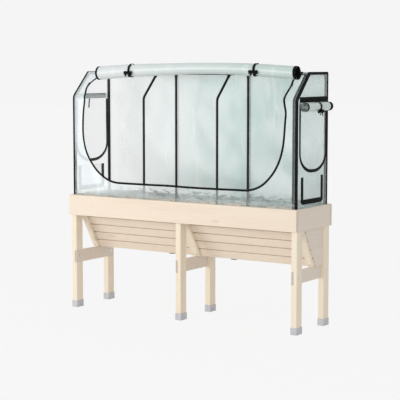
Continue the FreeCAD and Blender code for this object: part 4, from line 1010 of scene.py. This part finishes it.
def make_vent(side, name):
    """The vent's flap of film, bound in black on its two sides and lower edge, hung from its upper edge."""
    place = vent_film(side)
    y, z = np.meshgrid(np.linspace(*VENT_Y, 33), np.linspace(*VENT_Z, 23), indexing="ij")
    seam = np.maximum(near(VENT_Z[1] - z, 0.010), 0.15)
    flap = piece(f"{name}_vent_film", [patch(place(y, z), flip=side < 0)], FILM, f"{name}_vent",
                 (f"{name}_vent_flap",), {"seam": seam, "veil": VENT_HAZE[name]})
    inset = VENT_BORDER / 2
    front, back, low = VENT_Y[0] + inset, VENT_Y[1] - inset, VENT_Z[0] + inset
    corners = ((front, VENT_Z[1]), (front, low), (back, low), (back, VENT_Z[1]))
    line = evenly(rounded_line(corners, (VENT_CORNER, VENT_CORNER)), 120)
    binding = laid_tape(place, line, tape_profile(inset, VENT_BINDING_THICK), -0.0006)
    border = webbing(f"{name}_vent_binding", [tube(binding)], f"{name}_vent")


SLEEVE_X = 0.858
SLEEVE_HALF = 0.009
SLEEVE_DEPTH = 0.0018


def make_sleeve_tape():
    """The tape inside the front film that keeps it on the right hoop, from the hem up to the roof's edge."""
    run = np.linspace(0.004, ROOF_RUN - 0.006, 120)
    line = np.stack([np.full(120, SLEEVE_X), run], axis=1)
    tape = laid_tape(wrap_film, line, tape_profile(SLEEVE_HALF, TAPE_THICK), -SLEEVE_DEPTH)
    webbing("right_sleeve_tape", [tube(tape)], "cover")


make_sleeve_tape()

SIDES = ((-1, "left"), (1, "right"))
for end_side, end_name in SIDES:
    make_end(end_side, end_name)
    make_screens(end_side, end_name)
    make_end_webbing(end_side, end_name)
    make_piping(end_side, end_name)
    make_vent(end_side, end_name)


GRIP_REACH = 0.04


class WoundFilm:
    """A film that hangs from a seam and is wound up outwards. In the roll's own plane, out and up from its
    middle, it runs straight from the seam to the roll, touching it at the angle of the seam plus
    acos(radius / distance), then winds in under the roll: radius = outer - shrink * turn, with the turn
    solved from the length already wound, outer * turn - shrink * turn ** 2 / 2."""

    def __init__(self, seam, outer, core, length):
        distance = math.hypot(*seam)
        self.seam = np.array(seam)
        self.outer = outer
        self.touch = math.atan2(seam[1], seam[0]) + math.acos(outer / distance)
        self.strip = math.sqrt(distance ** 2 - outer ** 2)
        turns = (length - self.strip) / ((outer + core) / 2)
        self.shrink = (outer - core) / turns

    def at(self, run, lift=0.0, squeeze=0.0):
        """Point, out and up, at a run from the seam, raised off the film by lift."""
        wound = np.clip(run - self.strip, 0, None)
        turn = (self.outer - np.sqrt(self.outer ** 2 - 2 * self.shrink * wound)) / self.shrink
        grip = ramp(wound, 0, GRIP_REACH)
        radius = (self.outer - self.shrink * turn) * (1 - squeeze * grip) + lift
        angle = self.touch + turn
        spiral = np.stack([np.cos(angle), np.sin(angle)], axis=-1)
        touch_way = np.array((math.cos(self.touch), math.sin(self.touch)))
        share = ramp(run, 0, self.strip)[..., None]
        off_roll = self.outer * share + np.asarray(lift)[..., None]
        straight = self.seam * (1 - share) + touch_way * off_roll
        return np.where((run < self.strip)[..., None], straight, spiral * radius[..., None])


EDGE_OVER = 0.001


def edge_tape(place, runs, middle, end, half_width, width, lifts):
    """A tape folded over one edge of a wound film: a thin box section from just past the edge to a width
    inwards, between an outer and an inner lift off the film."""
    run = np.broadcast_to(runs[:, None], (len(runs), 4))
    inward = np.array((0.0, 1.0, 1.0, 0.0)) * np.broadcast_to(width, runs.shape)[:, None]
    across = middle + end * (half_width(run) + EDGE_OVER - inward)
    return tube(place(run, across, np.broadcast_to(np.repeat(lifts, 2), run.shape)))


DOOR_HEM = 0.020
DOOR_LENGTH = DOOR_TOP_RUN - DOOR_LOW_RUN + DOOR_HEM
ROLL_RADIUS = 0.046
ROLL_CORE = 0.009
ROLL_MIDDLE_X = 0.053
ROLL_HALF = 0.778
ROLL_Y = -0.1080
ROLL_END_Z = 1.6348
ROLL_RISE = 0.022
ROLL_DROOP = 0.004
ROLL_SEAM = (-0.040, 1.640)
ROLL_SWAY = 0.002
ROLL_CRUMPLE = 0.008
# How much slimmer the roll is at its waist, where that is and how far it reaches, and how it leans
ROLL_WAIST = 0.19
ROLL_WAIST_X = 0.12
ROLL_WAIST_REACH = 0.45
ROLL_FULLNESS = 0.03
ROLL_LEAN = 0.04
ROLL_TAPE = 0.016
ROLL_TAPE_GROWTH = 0.030
ROLL_TAPE_LIFTS = (0.0011, -0.0011)
ROLL_COLUMNS = 121
EDGE_CROWDING = 0.35
TIE_X = (-0.444, 0.534)
TIE_GRIP = 0.085
TIE_GRIP_REACH = 0.022
# The bulge on both sides of a tie: its share, how far off it is and its reach
TIE_BULGE = (0.02, 0.055, 0.03)


def roll_slack(x):
    """How much slimmer than even the wound door is at a place along it: a bell about its middle, and less at
    its left end than at its right one."""
    waist = ROLL_WAIST * near(x - ROLL_WAIST_X, ROLL_WAIST_REACH)
    return waist - ROLL_FULLNESS + ROLL_LEAN * (x - ROLL_MIDDLE_X) / ROLL_HALF


def roll_rise(x):
    """How far the wound door's middle line lies over its ends: an arch, a slow sway, and the slack that keeps
    its top in line."""
    arch = ROLL_RISE * (1 - ((x - ROLL_MIDDLE_X) / ROLL_HALF) ** 2)
    droop = ROLL_DROOP * ramp(x, ROLL_MIDDLE_X, -ROLL_HALF)
    sway = ripple(x, 0 * x, SEEDS["roll_sway"], 6, 0.9, 0.2) * ROLL_SWAY
    return arch - droop + sway + ROLL_RADIUS * roll_slack(x)


def make_front_roll():
    """The front door wound up under the roof's front edge: the wound film carried along a line that arches
    up, narrower where the door's lower corners are round, slimmer in its middle and at its ties, and crumpled
    a little."""
    wound = WoundFilm((ROLL_Y - ROLL_SEAM[0], ROLL_SEAM[1] - ROLL_END_Z), ROLL_RADIUS, ROLL_CORE,
                      DOOR_LENGTH)

    def half_width(run):
        into_corner = np.clip(run - (DOOR_LENGTH - DOOR_CORNER), 0, DOOR_CORNER)
        curve = DOOR_HALF - DOOR_CORNER + np.sqrt(np.clip(DOOR_CORNER ** 2 - into_corner ** 2, 0, None))
        return curve * ROLL_HALF / DOOR_HALF

    def place(run, x, lift=0.0):
        squeeze = roll_slack(x)
        for tie_x in TIE_X:
            aside = np.abs(x - tie_x)
            bulge = TIE_BULGE[0] * near(aside - TIE_BULGE[1], TIE_BULGE[2])
            squeeze = squeeze + TIE_GRIP * near(aside, TIE_GRIP_REACH) - bulge
        squeeze = squeeze + ripple(x, run * 2.2, SEEDS["roll_crumple"], 10, 0.5, 0.05) * ROLL_CRUMPLE
        flat = wound.at(run, lift, squeeze)
        up = ROLL_END_Z + flat[..., 1] + roll_rise(x) * ramp(run, 0, wound.strip)
        return np.stack([x, ROLL_Y - flat[..., 0], up], axis=-1)

    runs = np.concatenate([np.linspace(0, wound.strip, 6)[:-1], np.linspace(wound.strip, DOOR_LENGTH, 200)])
    spread = np.linspace(-1, 1, ROLL_COLUMNS)
    spread = np.sin(math.pi / 2 * spread) * EDGE_CROWDING + spread * (1 - EDGE_CROWDING)
    run, share = np.meshgrid(runs, spread, indexing="ij")
    x = ROLL_MIDDLE_X + share * half_width(run)
    # Its veil is haze and painted shade, greyer towards the right
    film = piece("front_door_wound_film", [patch(place(run, x), flip=True)], ROLLED, "front_roll",
                 ("front_door_roll",), {"veil": haze_and_shade_along(x, ROLL_HAZE_AND_SHADE)})
    first_turn = TURN * ROLL_RADIUS
    width = ROLL_TAPE + ROLL_TAPE_GROWTH * ramp(runs, wound.strip + first_turn, first_turn)
    edges = [edge_tape(place, runs, ROLL_MIDDLE_X, side, half_width, width, ROLL_TAPE_LIFTS)
             for side in (-1, 1)]
    tape = webbing("front_door_edge_tapes", edges, "front_roll")


make_front_roll()

WINDOW_ROLL_X = 0.9136
WINDOW_ROLL_Z = 1.424
WINDOW_ROLL_RADIUS = 0.030
WINDOW_ROLL_CORE = 0.006
WINDOW_ROLL_VEIL = 0.45
WINDOW_SEAM = (0.8829, 1.450)
WINDOW_TIE_Y = 0.007
WINDOW_ROLL_ENDS = (-0.167, 0.160)
WINDOW_ROLL_TAPES = (0.018, 0.030)
WINDOW_ROLL_LIFTS = (0.0014, 0.0002)
WINDOW_ROLL_REACH = 0.012
WINDOW_ROLL_CRUMPLE = 0.022
WINDOW_TIE_GRIP = 0.10
WINDOW_GRIP_REACH = 0.018


def make_window_roll():
    """The right window's film wound up under the black webbing, squeezed at its tie, with the zip's tape
    round its outermost turn; the inner turns slip out past the outer one a little, as a quarter circle."""
    length = WINDOW_SIZE[1]
    wound = WoundFilm((WINDOW_SEAM[0] - WINDOW_ROLL_X, WINDOW_SEAM[1] - WINDOW_ROLL_Z), WINDOW_ROLL_RADIUS,
                      WINDOW_ROLL_CORE, length)
    middle = sum(WINDOW_ROLL_ENDS) / 2
    half = (WINDOW_ROLL_ENDS[1] - WINDOW_ROLL_ENDS[0]) / 2

    def half_width(run):
        into_corner = ramp(run, length - WINDOW_CORNER[1], WINDOW_CORNER[1])
        return half + WINDOW_ROLL_REACH * (1 - np.sqrt(1 - into_corner ** 2))

    def place(run, y, lift=0.0):
        squeeze = WINDOW_TIE_GRIP * near(y - WINDOW_TIE_Y, WINDOW_GRIP_REACH)
        crumple = ripple(y, run * 2, SEEDS["window_roll"], 8, 0.25, 0.04) * WINDOW_ROLL_CRUMPLE
        flat = wound.at(run, lift, squeeze + crumple)
        return np.stack([WINDOW_ROLL_X + flat[..., 0], y, WINDOW_ROLL_Z + flat[..., 1]], axis=-1)

    runs = np.concatenate([np.linspace(0, wound.strip, 5)[:-1], np.linspace(wound.strip, length, 150)])
    run, share = np.meshgrid(runs, np.linspace(-1, 1, 61), indexing="ij")
    spiral = patch(place(run, middle + share * half_width(run)))
    film = piece("right_window_wound_film", [spiral], ROLLED, "right_window",
                 ("right_window_roll",), {"veil": WINDOW_ROLL_VEIL})
    outer_turn = runs[runs < wound.strip + TURN * WINDOW_ROLL_RADIUS]
    edges = [edge_tape(place, outer_turn, middle, end, half_width, width, WINDOW_ROLL_LIFTS)
             for end, width in zip((-1, 1), WINDOW_ROLL_TAPES)]
    tape = webbing("right_window_edge_tapes", edges, "right_window")


TIE_WIDTH = 0.017
TIE_THICK = 0.0015
RIBBON_THICK = 0.0013
KNOT_LIFT = 0.0075
KNOT_OVAL = (0.0085, 0.0105)
KNOT_HALF_LENGTH = 0.0090
BOW_HEIGHT = 0.0085
BOW_DROOP = 0.004
FRONT_BOW = (0.032, 0.024)
FRONT_TIE_EASE = 1.03
FRONT_KNOT_ANGLE = math.radians(15)
WINDOW_BOW = (0.030, 0.020)
WINDOW_TIE_EASE = 0.93
WINDOW_KNOT_ANGLE = math.radians(50)
LOOSE_TIE_WIDTH = 0.014
LOOSE_TIE_TOP = (0.8836, -0.016, 1.4492)
LOOSE_TIE_LENGTH = 0.064
LOOSE_TIE_SWAY = -0.008
LOOSE_TIE_BOW = 0.0025
FLAP_EASE = 0.0003
FLAP_LIFT = 0.0007


def make_window_flap():
    """The left window's film, zipped shut inside its tape, and its tie, which hangs loose from the band along
    a line that drifts to the front by a square."""
    place = end_film(-1)
    inset = WINDOW_TAPE_HALF + FLAP_EASE
    y_span = (WINDOW_Y[0] + inset, WINDOW_Y[1] - inset)
    z_span = (WINDOW_Z[0] + inset, WINDOW_Z[1] - FLAP_EASE)
    corner = (WINDOW_CORNER[0] - inset, WINDOW_CORNER[1] - inset)
    flat = coons(*hole_parts(y_span, z_span, corner, SHARP_CORNER, END_COLUMNS))
    shut = patch(place(flat[..., 0], flat[..., 1], FLAP_LIFT), flip=True)
    flap = piece("left_window_film", [shut], FILM, "left_window", ("left_window_flap",),
                 {"veil": END_HAZE_AND_SHADE["left"]})
    share = np.linspace(0, 1, 17)
    drop = LOOSE_TIE_TOP[2] - share * LOOSE_TIE_LENGTH
    drift = LOOSE_TIE_TOP[1] + LOOSE_TIE_SWAY * share ** 2
    profile = tape_profile(LOOSE_TIE_WIDTH / 2, TIE_THICK)
    out = LOOSE_TIE_TOP[0] + LOOSE_TIE_BOW * np.sin(math.pi * share)[:, None] + profile[None, :, 1]
    strap = at_end(-1, out, drift[:, None] + profile[None, :, 0], drop[:, None])
    tie = webbing("left_window_loose_tie", [tube(strap)], "left_window", ("left_window_tie",))


def superellipse(half_out, half_up, power, count):
    """A closed outline between an ellipse and a box: each of cosine and sine raised to 2 / power."""
    angle = np.linspace(0, TURN, count, endpoint=False)
    cosine, sine = np.cos(angle), np.sin(angle)
    return np.stack([half_out * np.sign(cosine) * np.abs(cosine) ** (2 / power),
                     half_up * np.sign(sine) * np.abs(sine) ** (2 / power)], axis=1)


def tie_patches(middle, axis, outward, radius, knot_angle, bow):
    """A tie round a roll, in the roll's own frame of axis, outward and up: a flat ring; a bow whose loops
    follow length * sin(pi t) along the axis and height * sin(2 pi t) off the roll, widest half way; two tails
    that hang; and a knot, a superellipse whose size swells as a half circle. Bow gives length and width."""
    middle, axis, outward = (np.array(v, float) for v in (middle, axis, outward))
    up = np.array((0.0, 0.0, 1.0))
    length, width = bow
    profile = tape_profile(TIE_WIDTH / 2, TIE_THICK)
    angle = np.linspace(0, TURN, 72, endpoint=False)
    spokes = np.cos(angle)[:, None] * outward + np.sin(angle)[:, None] * up
    ring = swept(middle + spokes * radius, axis, spokes, profile)
    patches = [patch(ring, around=True, loop=True)]
    knot_way = math.cos(knot_angle) * outward - math.sin(knot_angle) * up
    down_way = -math.sin(knot_angle) * outward - math.cos(knot_angle) * up
    knot = middle + knot_way * (radius + TIE_THICK + KNOT_LIFT)

    def ribbon(path, side_way, widths):
        ways = unit(np.gradient(path, axis=0))
        faces = unit(np.cross(ways, side_way))
        thick = 0.12
        flat = (tape_profile(0.5, thick, 3) - (0, thick / 2)) / (1, thick)
        return swept(path, side_way * widths[:, None], faces * RIBBON_THICK, flat)

    t = np.linspace(0.02, 0.98, 29)[:, None]
    for way in (-1, 1):
        loop = (knot + axis * way * length * np.sin(math.pi * t)
                + knot_way * BOW_HEIGHT * np.sin(TURN * t)
                - up * BOW_DROOP * np.sin(math.pi * t) ** 2)
        widths = 0.3 * width + 0.7 * width * np.sin(math.pi * t[:, 0]) ** 0.8
        patches.append(tube(ribbon(loop, down_way, widths)))
        hang = (knot + axis * way * (0.003 + 0.016 * t) + knot_way * (0.004 + 0.002 * np.sin(math.pi * t))
                - up * length * 0.85 * t * (1.0 + 0.12 * way))
        widths = width * (0.4 + 0.25 * t[:, 0] ** 0.5)
        patches.append(tube(ribbon(hang, axis * 0.9 + up * 0.25 * way, widths)))
    turn = np.linspace(-0.94, 0.94, 13)
    size = np.sqrt(1 - turn ** 2)[:, None]
    path = knot + axis * (turn * KNOT_HALF_LENGTH)[:, None]
    patches.append(tube(swept(path, knot_way * size, down_way * size, superellipse(*KNOT_OVAL, 2.6, 20))))
    return patches


def make_front_ties():
    """The two ties that hold the wound door, each with its bow at the front."""
    for name, tie_x in zip(("left", "right"), TIE_X):
        rise = float(roll_rise(np.array(tie_x)))
        radius = ROLL_RADIUS * (FRONT_TIE_EASE - TIE_GRIP - float(roll_slack(tie_x)))
        patches = tie_patches((tie_x, ROLL_Y, ROLL_END_Z + rise), (1, 0, 0), (0, -1, 0), radius,
                              FRONT_KNOT_ANGLE, FRONT_BOW)
        webbing(f"front_{name}_tie", patches, "front_roll", ("front_ties",))


def make_window_tie():
    """The tie that holds the wound right window, with its bow below."""
    grids = tie_patches((WINDOW_ROLL_X, WINDOW_TIE_Y, WINDOW_ROLL_Z), (0, 1, 0), (1, 0, 0),
                        WINDOW_ROLL_RADIUS * WINDOW_TIE_EASE, WINDOW_KNOT_ANGLE, WINDOW_BOW)
    webbing("right_window_bow", grids, "right_window", ("right_window_tie",))


make_front_ties()
make_window_roll()
make_window_tie()
make_window_flap()

SLOPE_DOWN = np.array((0.0, -0.69629, -0.71776))
SLOPE_OUT = np.array((0.0, -0.71776, 0.69629))
PULL_HINGE = (0.800, -0.13107, 1.55503)
SLIDER_LENGTH = 0.022
SLIDER_SINK = 0.0009
SLIDER_HALF_WIDE = 0.0044
SLIDER_THROAT = 0.0014
SLIDER_HALF_THICK = 0.0019
BRIDGE_HALF_LENGTH = 0.0072
BRIDGE_FOOT = 0.0014
BRIDGE_RISE = 0.0034
BRIDGE_ROD = (0.0017, 0.0007)
PULL_LENGTH = 0.030
PULL_HALF_WIDE = 0.0040
PULL_HALF_THICK = 0.0006
PULL_HOLE = (0.0020, 0.0034)
PULL_HOLE_PLACE = 0.0075
PULL_OVER_HINGE = 0.0007
PULL_TAPER = 0.16


def make_slider(side, name):
    """A zip slider: a rounded body that widens to its two throats, and a bridge that arches over its middle;
    and its pull: a tab with a hole, narrower towards its hinge under the bridge."""
    hinge = np.array((side * PULL_HINGE[0], PULL_HINGE[1], PULL_HINGE[2]))
    across = np.array((1.0, 0.0, 0.0))
    low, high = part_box(f"{name}_zip_slider")
    centre = (np.array(low) + np.array(high)) / 2 - (MIDDLE_X, 0, 0) - SLOPE_OUT * SLIDER_SINK
    t = np.linspace(-1, 1, 17)[:, None]
    swell = np.sqrt(np.clip(1 - np.abs(t) ** 6, 0.05, 1))
    half_wide = SLIDER_HALF_WIDE + SLIDER_THROAT * ((1 - t) / 2) ** 1.5
    body = swept(centre + SLOPE_DOWN * t * SLIDER_LENGTH / 2, across * swell * half_wide,
                 SLOPE_OUT * swell * SLIDER_HALF_THICK, superellipse(1, 1, 4, 24))
    angle = np.linspace(0, math.pi, 19)[:, None]
    arch = (centre + SLOPE_DOWN * -np.cos(angle) * BRIDGE_HALF_LENGTH
            + SLOPE_OUT * (BRIDGE_FOOT + np.sin(angle) ** 0.7 * BRIDGE_RISE))
    ways = unit(np.gradient(arch, axis=0))
    bridge = swept(arch, across, np.cross(ways, across), superellipse(*BRIDGE_ROD, 3, 12))
    piece(f"{name}_zip_slider_body", [tube(body), tube(bridge)], ZIP_METAL, f"{name}_slider",
          (f"{name}_zip_slider",), shell=True)
    outer_edge = (superellipse(1, 1, 3.4, 48), PULL_HALF_WIDE, PULL_LENGTH / 2, 0.0)
    hole_edge = (superellipse(1, 1, 2, 48), *PULL_HOLE, PULL_HOLE_PLACE)
    rings = []
    for (edge, wide, long, off), face in ((hole_edge, -1), (outer_edge, -1), (outer_edge, 1), (hole_edge, 1)):
        taper = 1 - PULL_TAPER * (1 - edge[:, 1:2]) / 2
        rings.append(hinge + SLOPE_DOWN * (PULL_LENGTH / 2 - PULL_OVER_HINGE + off + edge[:, 1:2] * long)
                     + across * (edge[:, :1] * wide * taper) + SLOPE_OUT * (face * PULL_HALF_THICK))
    tab = np.stack(rings, axis=1)
    piece(f"{name}_zip_pull_tab", [patch(tab, around=True, loop=True)], ZIP_METAL, f"{name}_pull",
          (f"{name}_zip_pull",), shell=True, sharp=50)


for end_side, end_name in SIDES:
    make_slider(end_side, end_name)

LINER_X = 0.8655
LINER_SECTION = ((-0.1250, 0.7038), (0.0490, 0.4146), (0.1304, 0.4146), (0.1304, 0.7038))
LINER_RADII = (0.018, 0.016)
LINER_CREASE = 0.006


def make_liner():
    """The trough's liner: a cloth laid down the sloped front, over the floor and up the back, with its two
    ends stood up, creased inwards by a ripple that dies out at its edges."""
    line = rounded_line(LINER_SECTION, LINER_RADII)
    run = running(line)
    spots = np.unique(np.concatenate([np.linspace(0, run[-1], 56), run]))
    point = np.stack([np.interp(spots, run, line[:, k]) for k in (0, 1)], axis=1)
    inward = line_frame(point)[1]
    x = np.linspace(-LINER_X, LINER_X, 141)
    along, down = np.meshgrid(x, spots, indexing="ij")
    held = 1 - near(LINER_X - np.abs(along), 0.05)
    held = held * (1 - near(down, 0.04)) * (1 - near(run[-1] - down, 0.04))
    crease = (ripple(along, down, SEEDS["liner"], 11, 0.4, 0.05) * 0.5 + 0.5) * LINER_CREASE * held
    flat = point[None] + inward[None] * crease[..., None]
    cloth = np.concatenate([along[..., None], flat], axis=-1)
    patches = [patch(cloth, flip=True)]
    cut = int(np.argmin(np.abs(spots - run[5])))
    back = int(np.argmin(np.abs(spots - run[-6])))
    left = evenly(point[:cut + 1][::-1], 21)
    right = evenly(point[back:], 21)
    lower = evenly(point[cut:back + 1], 21)
    upper = evenly(np.array((point[0], point[-1])), 21)
    end = coons(lower, right, upper, left)
    for side in (-1, 1):
        end_x = np.full(end.shape[:2] + (1,), side * LINER_X)
        patches.append(patch(np.concatenate([end_x, end], axis=-1), flip=side > 0))
    cloth = piece("trough_liner_cloth", patches, LINER, "planter", ("trough_liner",),
                  weld=WELD)


make_liner()

BACKDROP = (0.913, 0.913, 0.913, 1)
FLOOR_GLOW = (0.945, 0.945, 0.945, 1)
SURROUND = (0.700, 0.705, 0.715, 1)
SHADOW_SHARE = 0.08
FLOOR_MATT = (0.88, 0.88, 0.88, 1)
FLOOR_RINGS = (0.0001, 1.5, 3.0, 5.0, 8.0, 14.0, 25.0, 45.0)
# Each lamp's place, aim, size and power
KEY_LAMP = ((-3.2, -5.8, 1.6), (0, 0, 0.9), (3.0, 2.4), 132)
FILL_LAMP = ((3.6, -5.9, 1.6), (-0.6, 0, 0.6), (3.6, 2.0), 48)


def soft_light(name, place, aim, size, power):
    """A large soft lamp turned to a point, itself out of the picture from every side."""
    data = bpy.data.lights.new(name, "AREA")
    data.shape = "RECTANGLE"
    data.size, data.size_y = size
    data.energy = power
    lamp = bpy.data.objects.new(name, data)
    lamp.location = place
    way = Vector(aim) - Vector(place)
    lamp.rotation_euler = way.to_track_quat("-Z", "Y").to_euler()
    lamp.visible_camera = False
    bpy.context.scene.collection.objects.link(lamp)


def seen_by_eye(tree):
    """1 for rays that the eye sees straight, in gloss or through film, and 0 for those that carry light."""
    rays = node(tree, "ShaderNodeLightPath").outputs
    straight = maths(tree, "MAXIMUM", rays["Is Camera Ray"], rays["Is Glossy Ray"])
    return maths(tree, "MAXIMUM", straight, rays["Is Transmission Ray"])


def make_studio():
    """A pale floor that keeps a light shadow, a pale surround and two soft lamps."""
    rings = np.array(FLOOR_RINGS)
    angle = np.linspace(0, TURN, 96, endpoint=False)
    disc = np.stack([rings[:, None] * np.cos(angle), rings[:, None] * np.sin(angle),
                     np.zeros((len(rings), len(angle)))], axis=-1)
    index = np.arange(disc.shape[0] * disc.shape[1]).reshape(disc.shape[:2])
    index = np.concatenate([index, index[:, :1]], axis=1)
    mesh = bpy.data.meshes.new("studio_floor")
    mesh.from_pydata(disc.reshape(-1, 3).tolist(), [], corners_of(index).tolist())
    floor = bpy.data.objects.new("studio_floor", mesh)
    bpy.context.scene.collection.objects.link(floor)
    material = bpy.data.materials.new("studio_floor")
    material.use_nodes = True
    tree = material.node_tree
    tree.nodes.clear()
    output = node(tree, "ShaderNodeOutputMaterial")
    matt = node(tree, "ShaderNodeBsdfDiffuse", (("Color", FLOOR_MATT),))
    glow = node(tree, "ShaderNodeEmission", (("Color", FLOOR_GLOW), ("Strength", 1.0)))
    inputs = ((0, SHADOW_SHARE), (1, glow.outputs[0]), (2, matt.outputs[0]))
    shaded = node(tree, "ShaderNodeMixShader", inputs)
    inputs = ((0, seen_by_eye(tree)), (1, matt.outputs[0]), (2, shaded.outputs[0]))
    floor_seen = node(tree, "ShaderNodeMixShader", inputs)
    tree.links.new(floor_seen.outputs[0], output.inputs[0])
    mesh.materials.append(material)

    world = bpy.data.worlds.new("studio")
    bpy.context.scene.world = world
    world.use_nodes = True
    tree = world.node_tree
    ground = tree.nodes["Background"]
    tree.links.new(tints(tree, seen_by_eye(tree), SURROUND, BACKDROP), ground.inputs["Color"])
    soft_light("key_softbox", *KEY_LAMP)
    soft_light("fill_softbox", *FILL_LAMP)
    bpy.context.scene.view_settings.view_transform = "Standard"


make_studio()
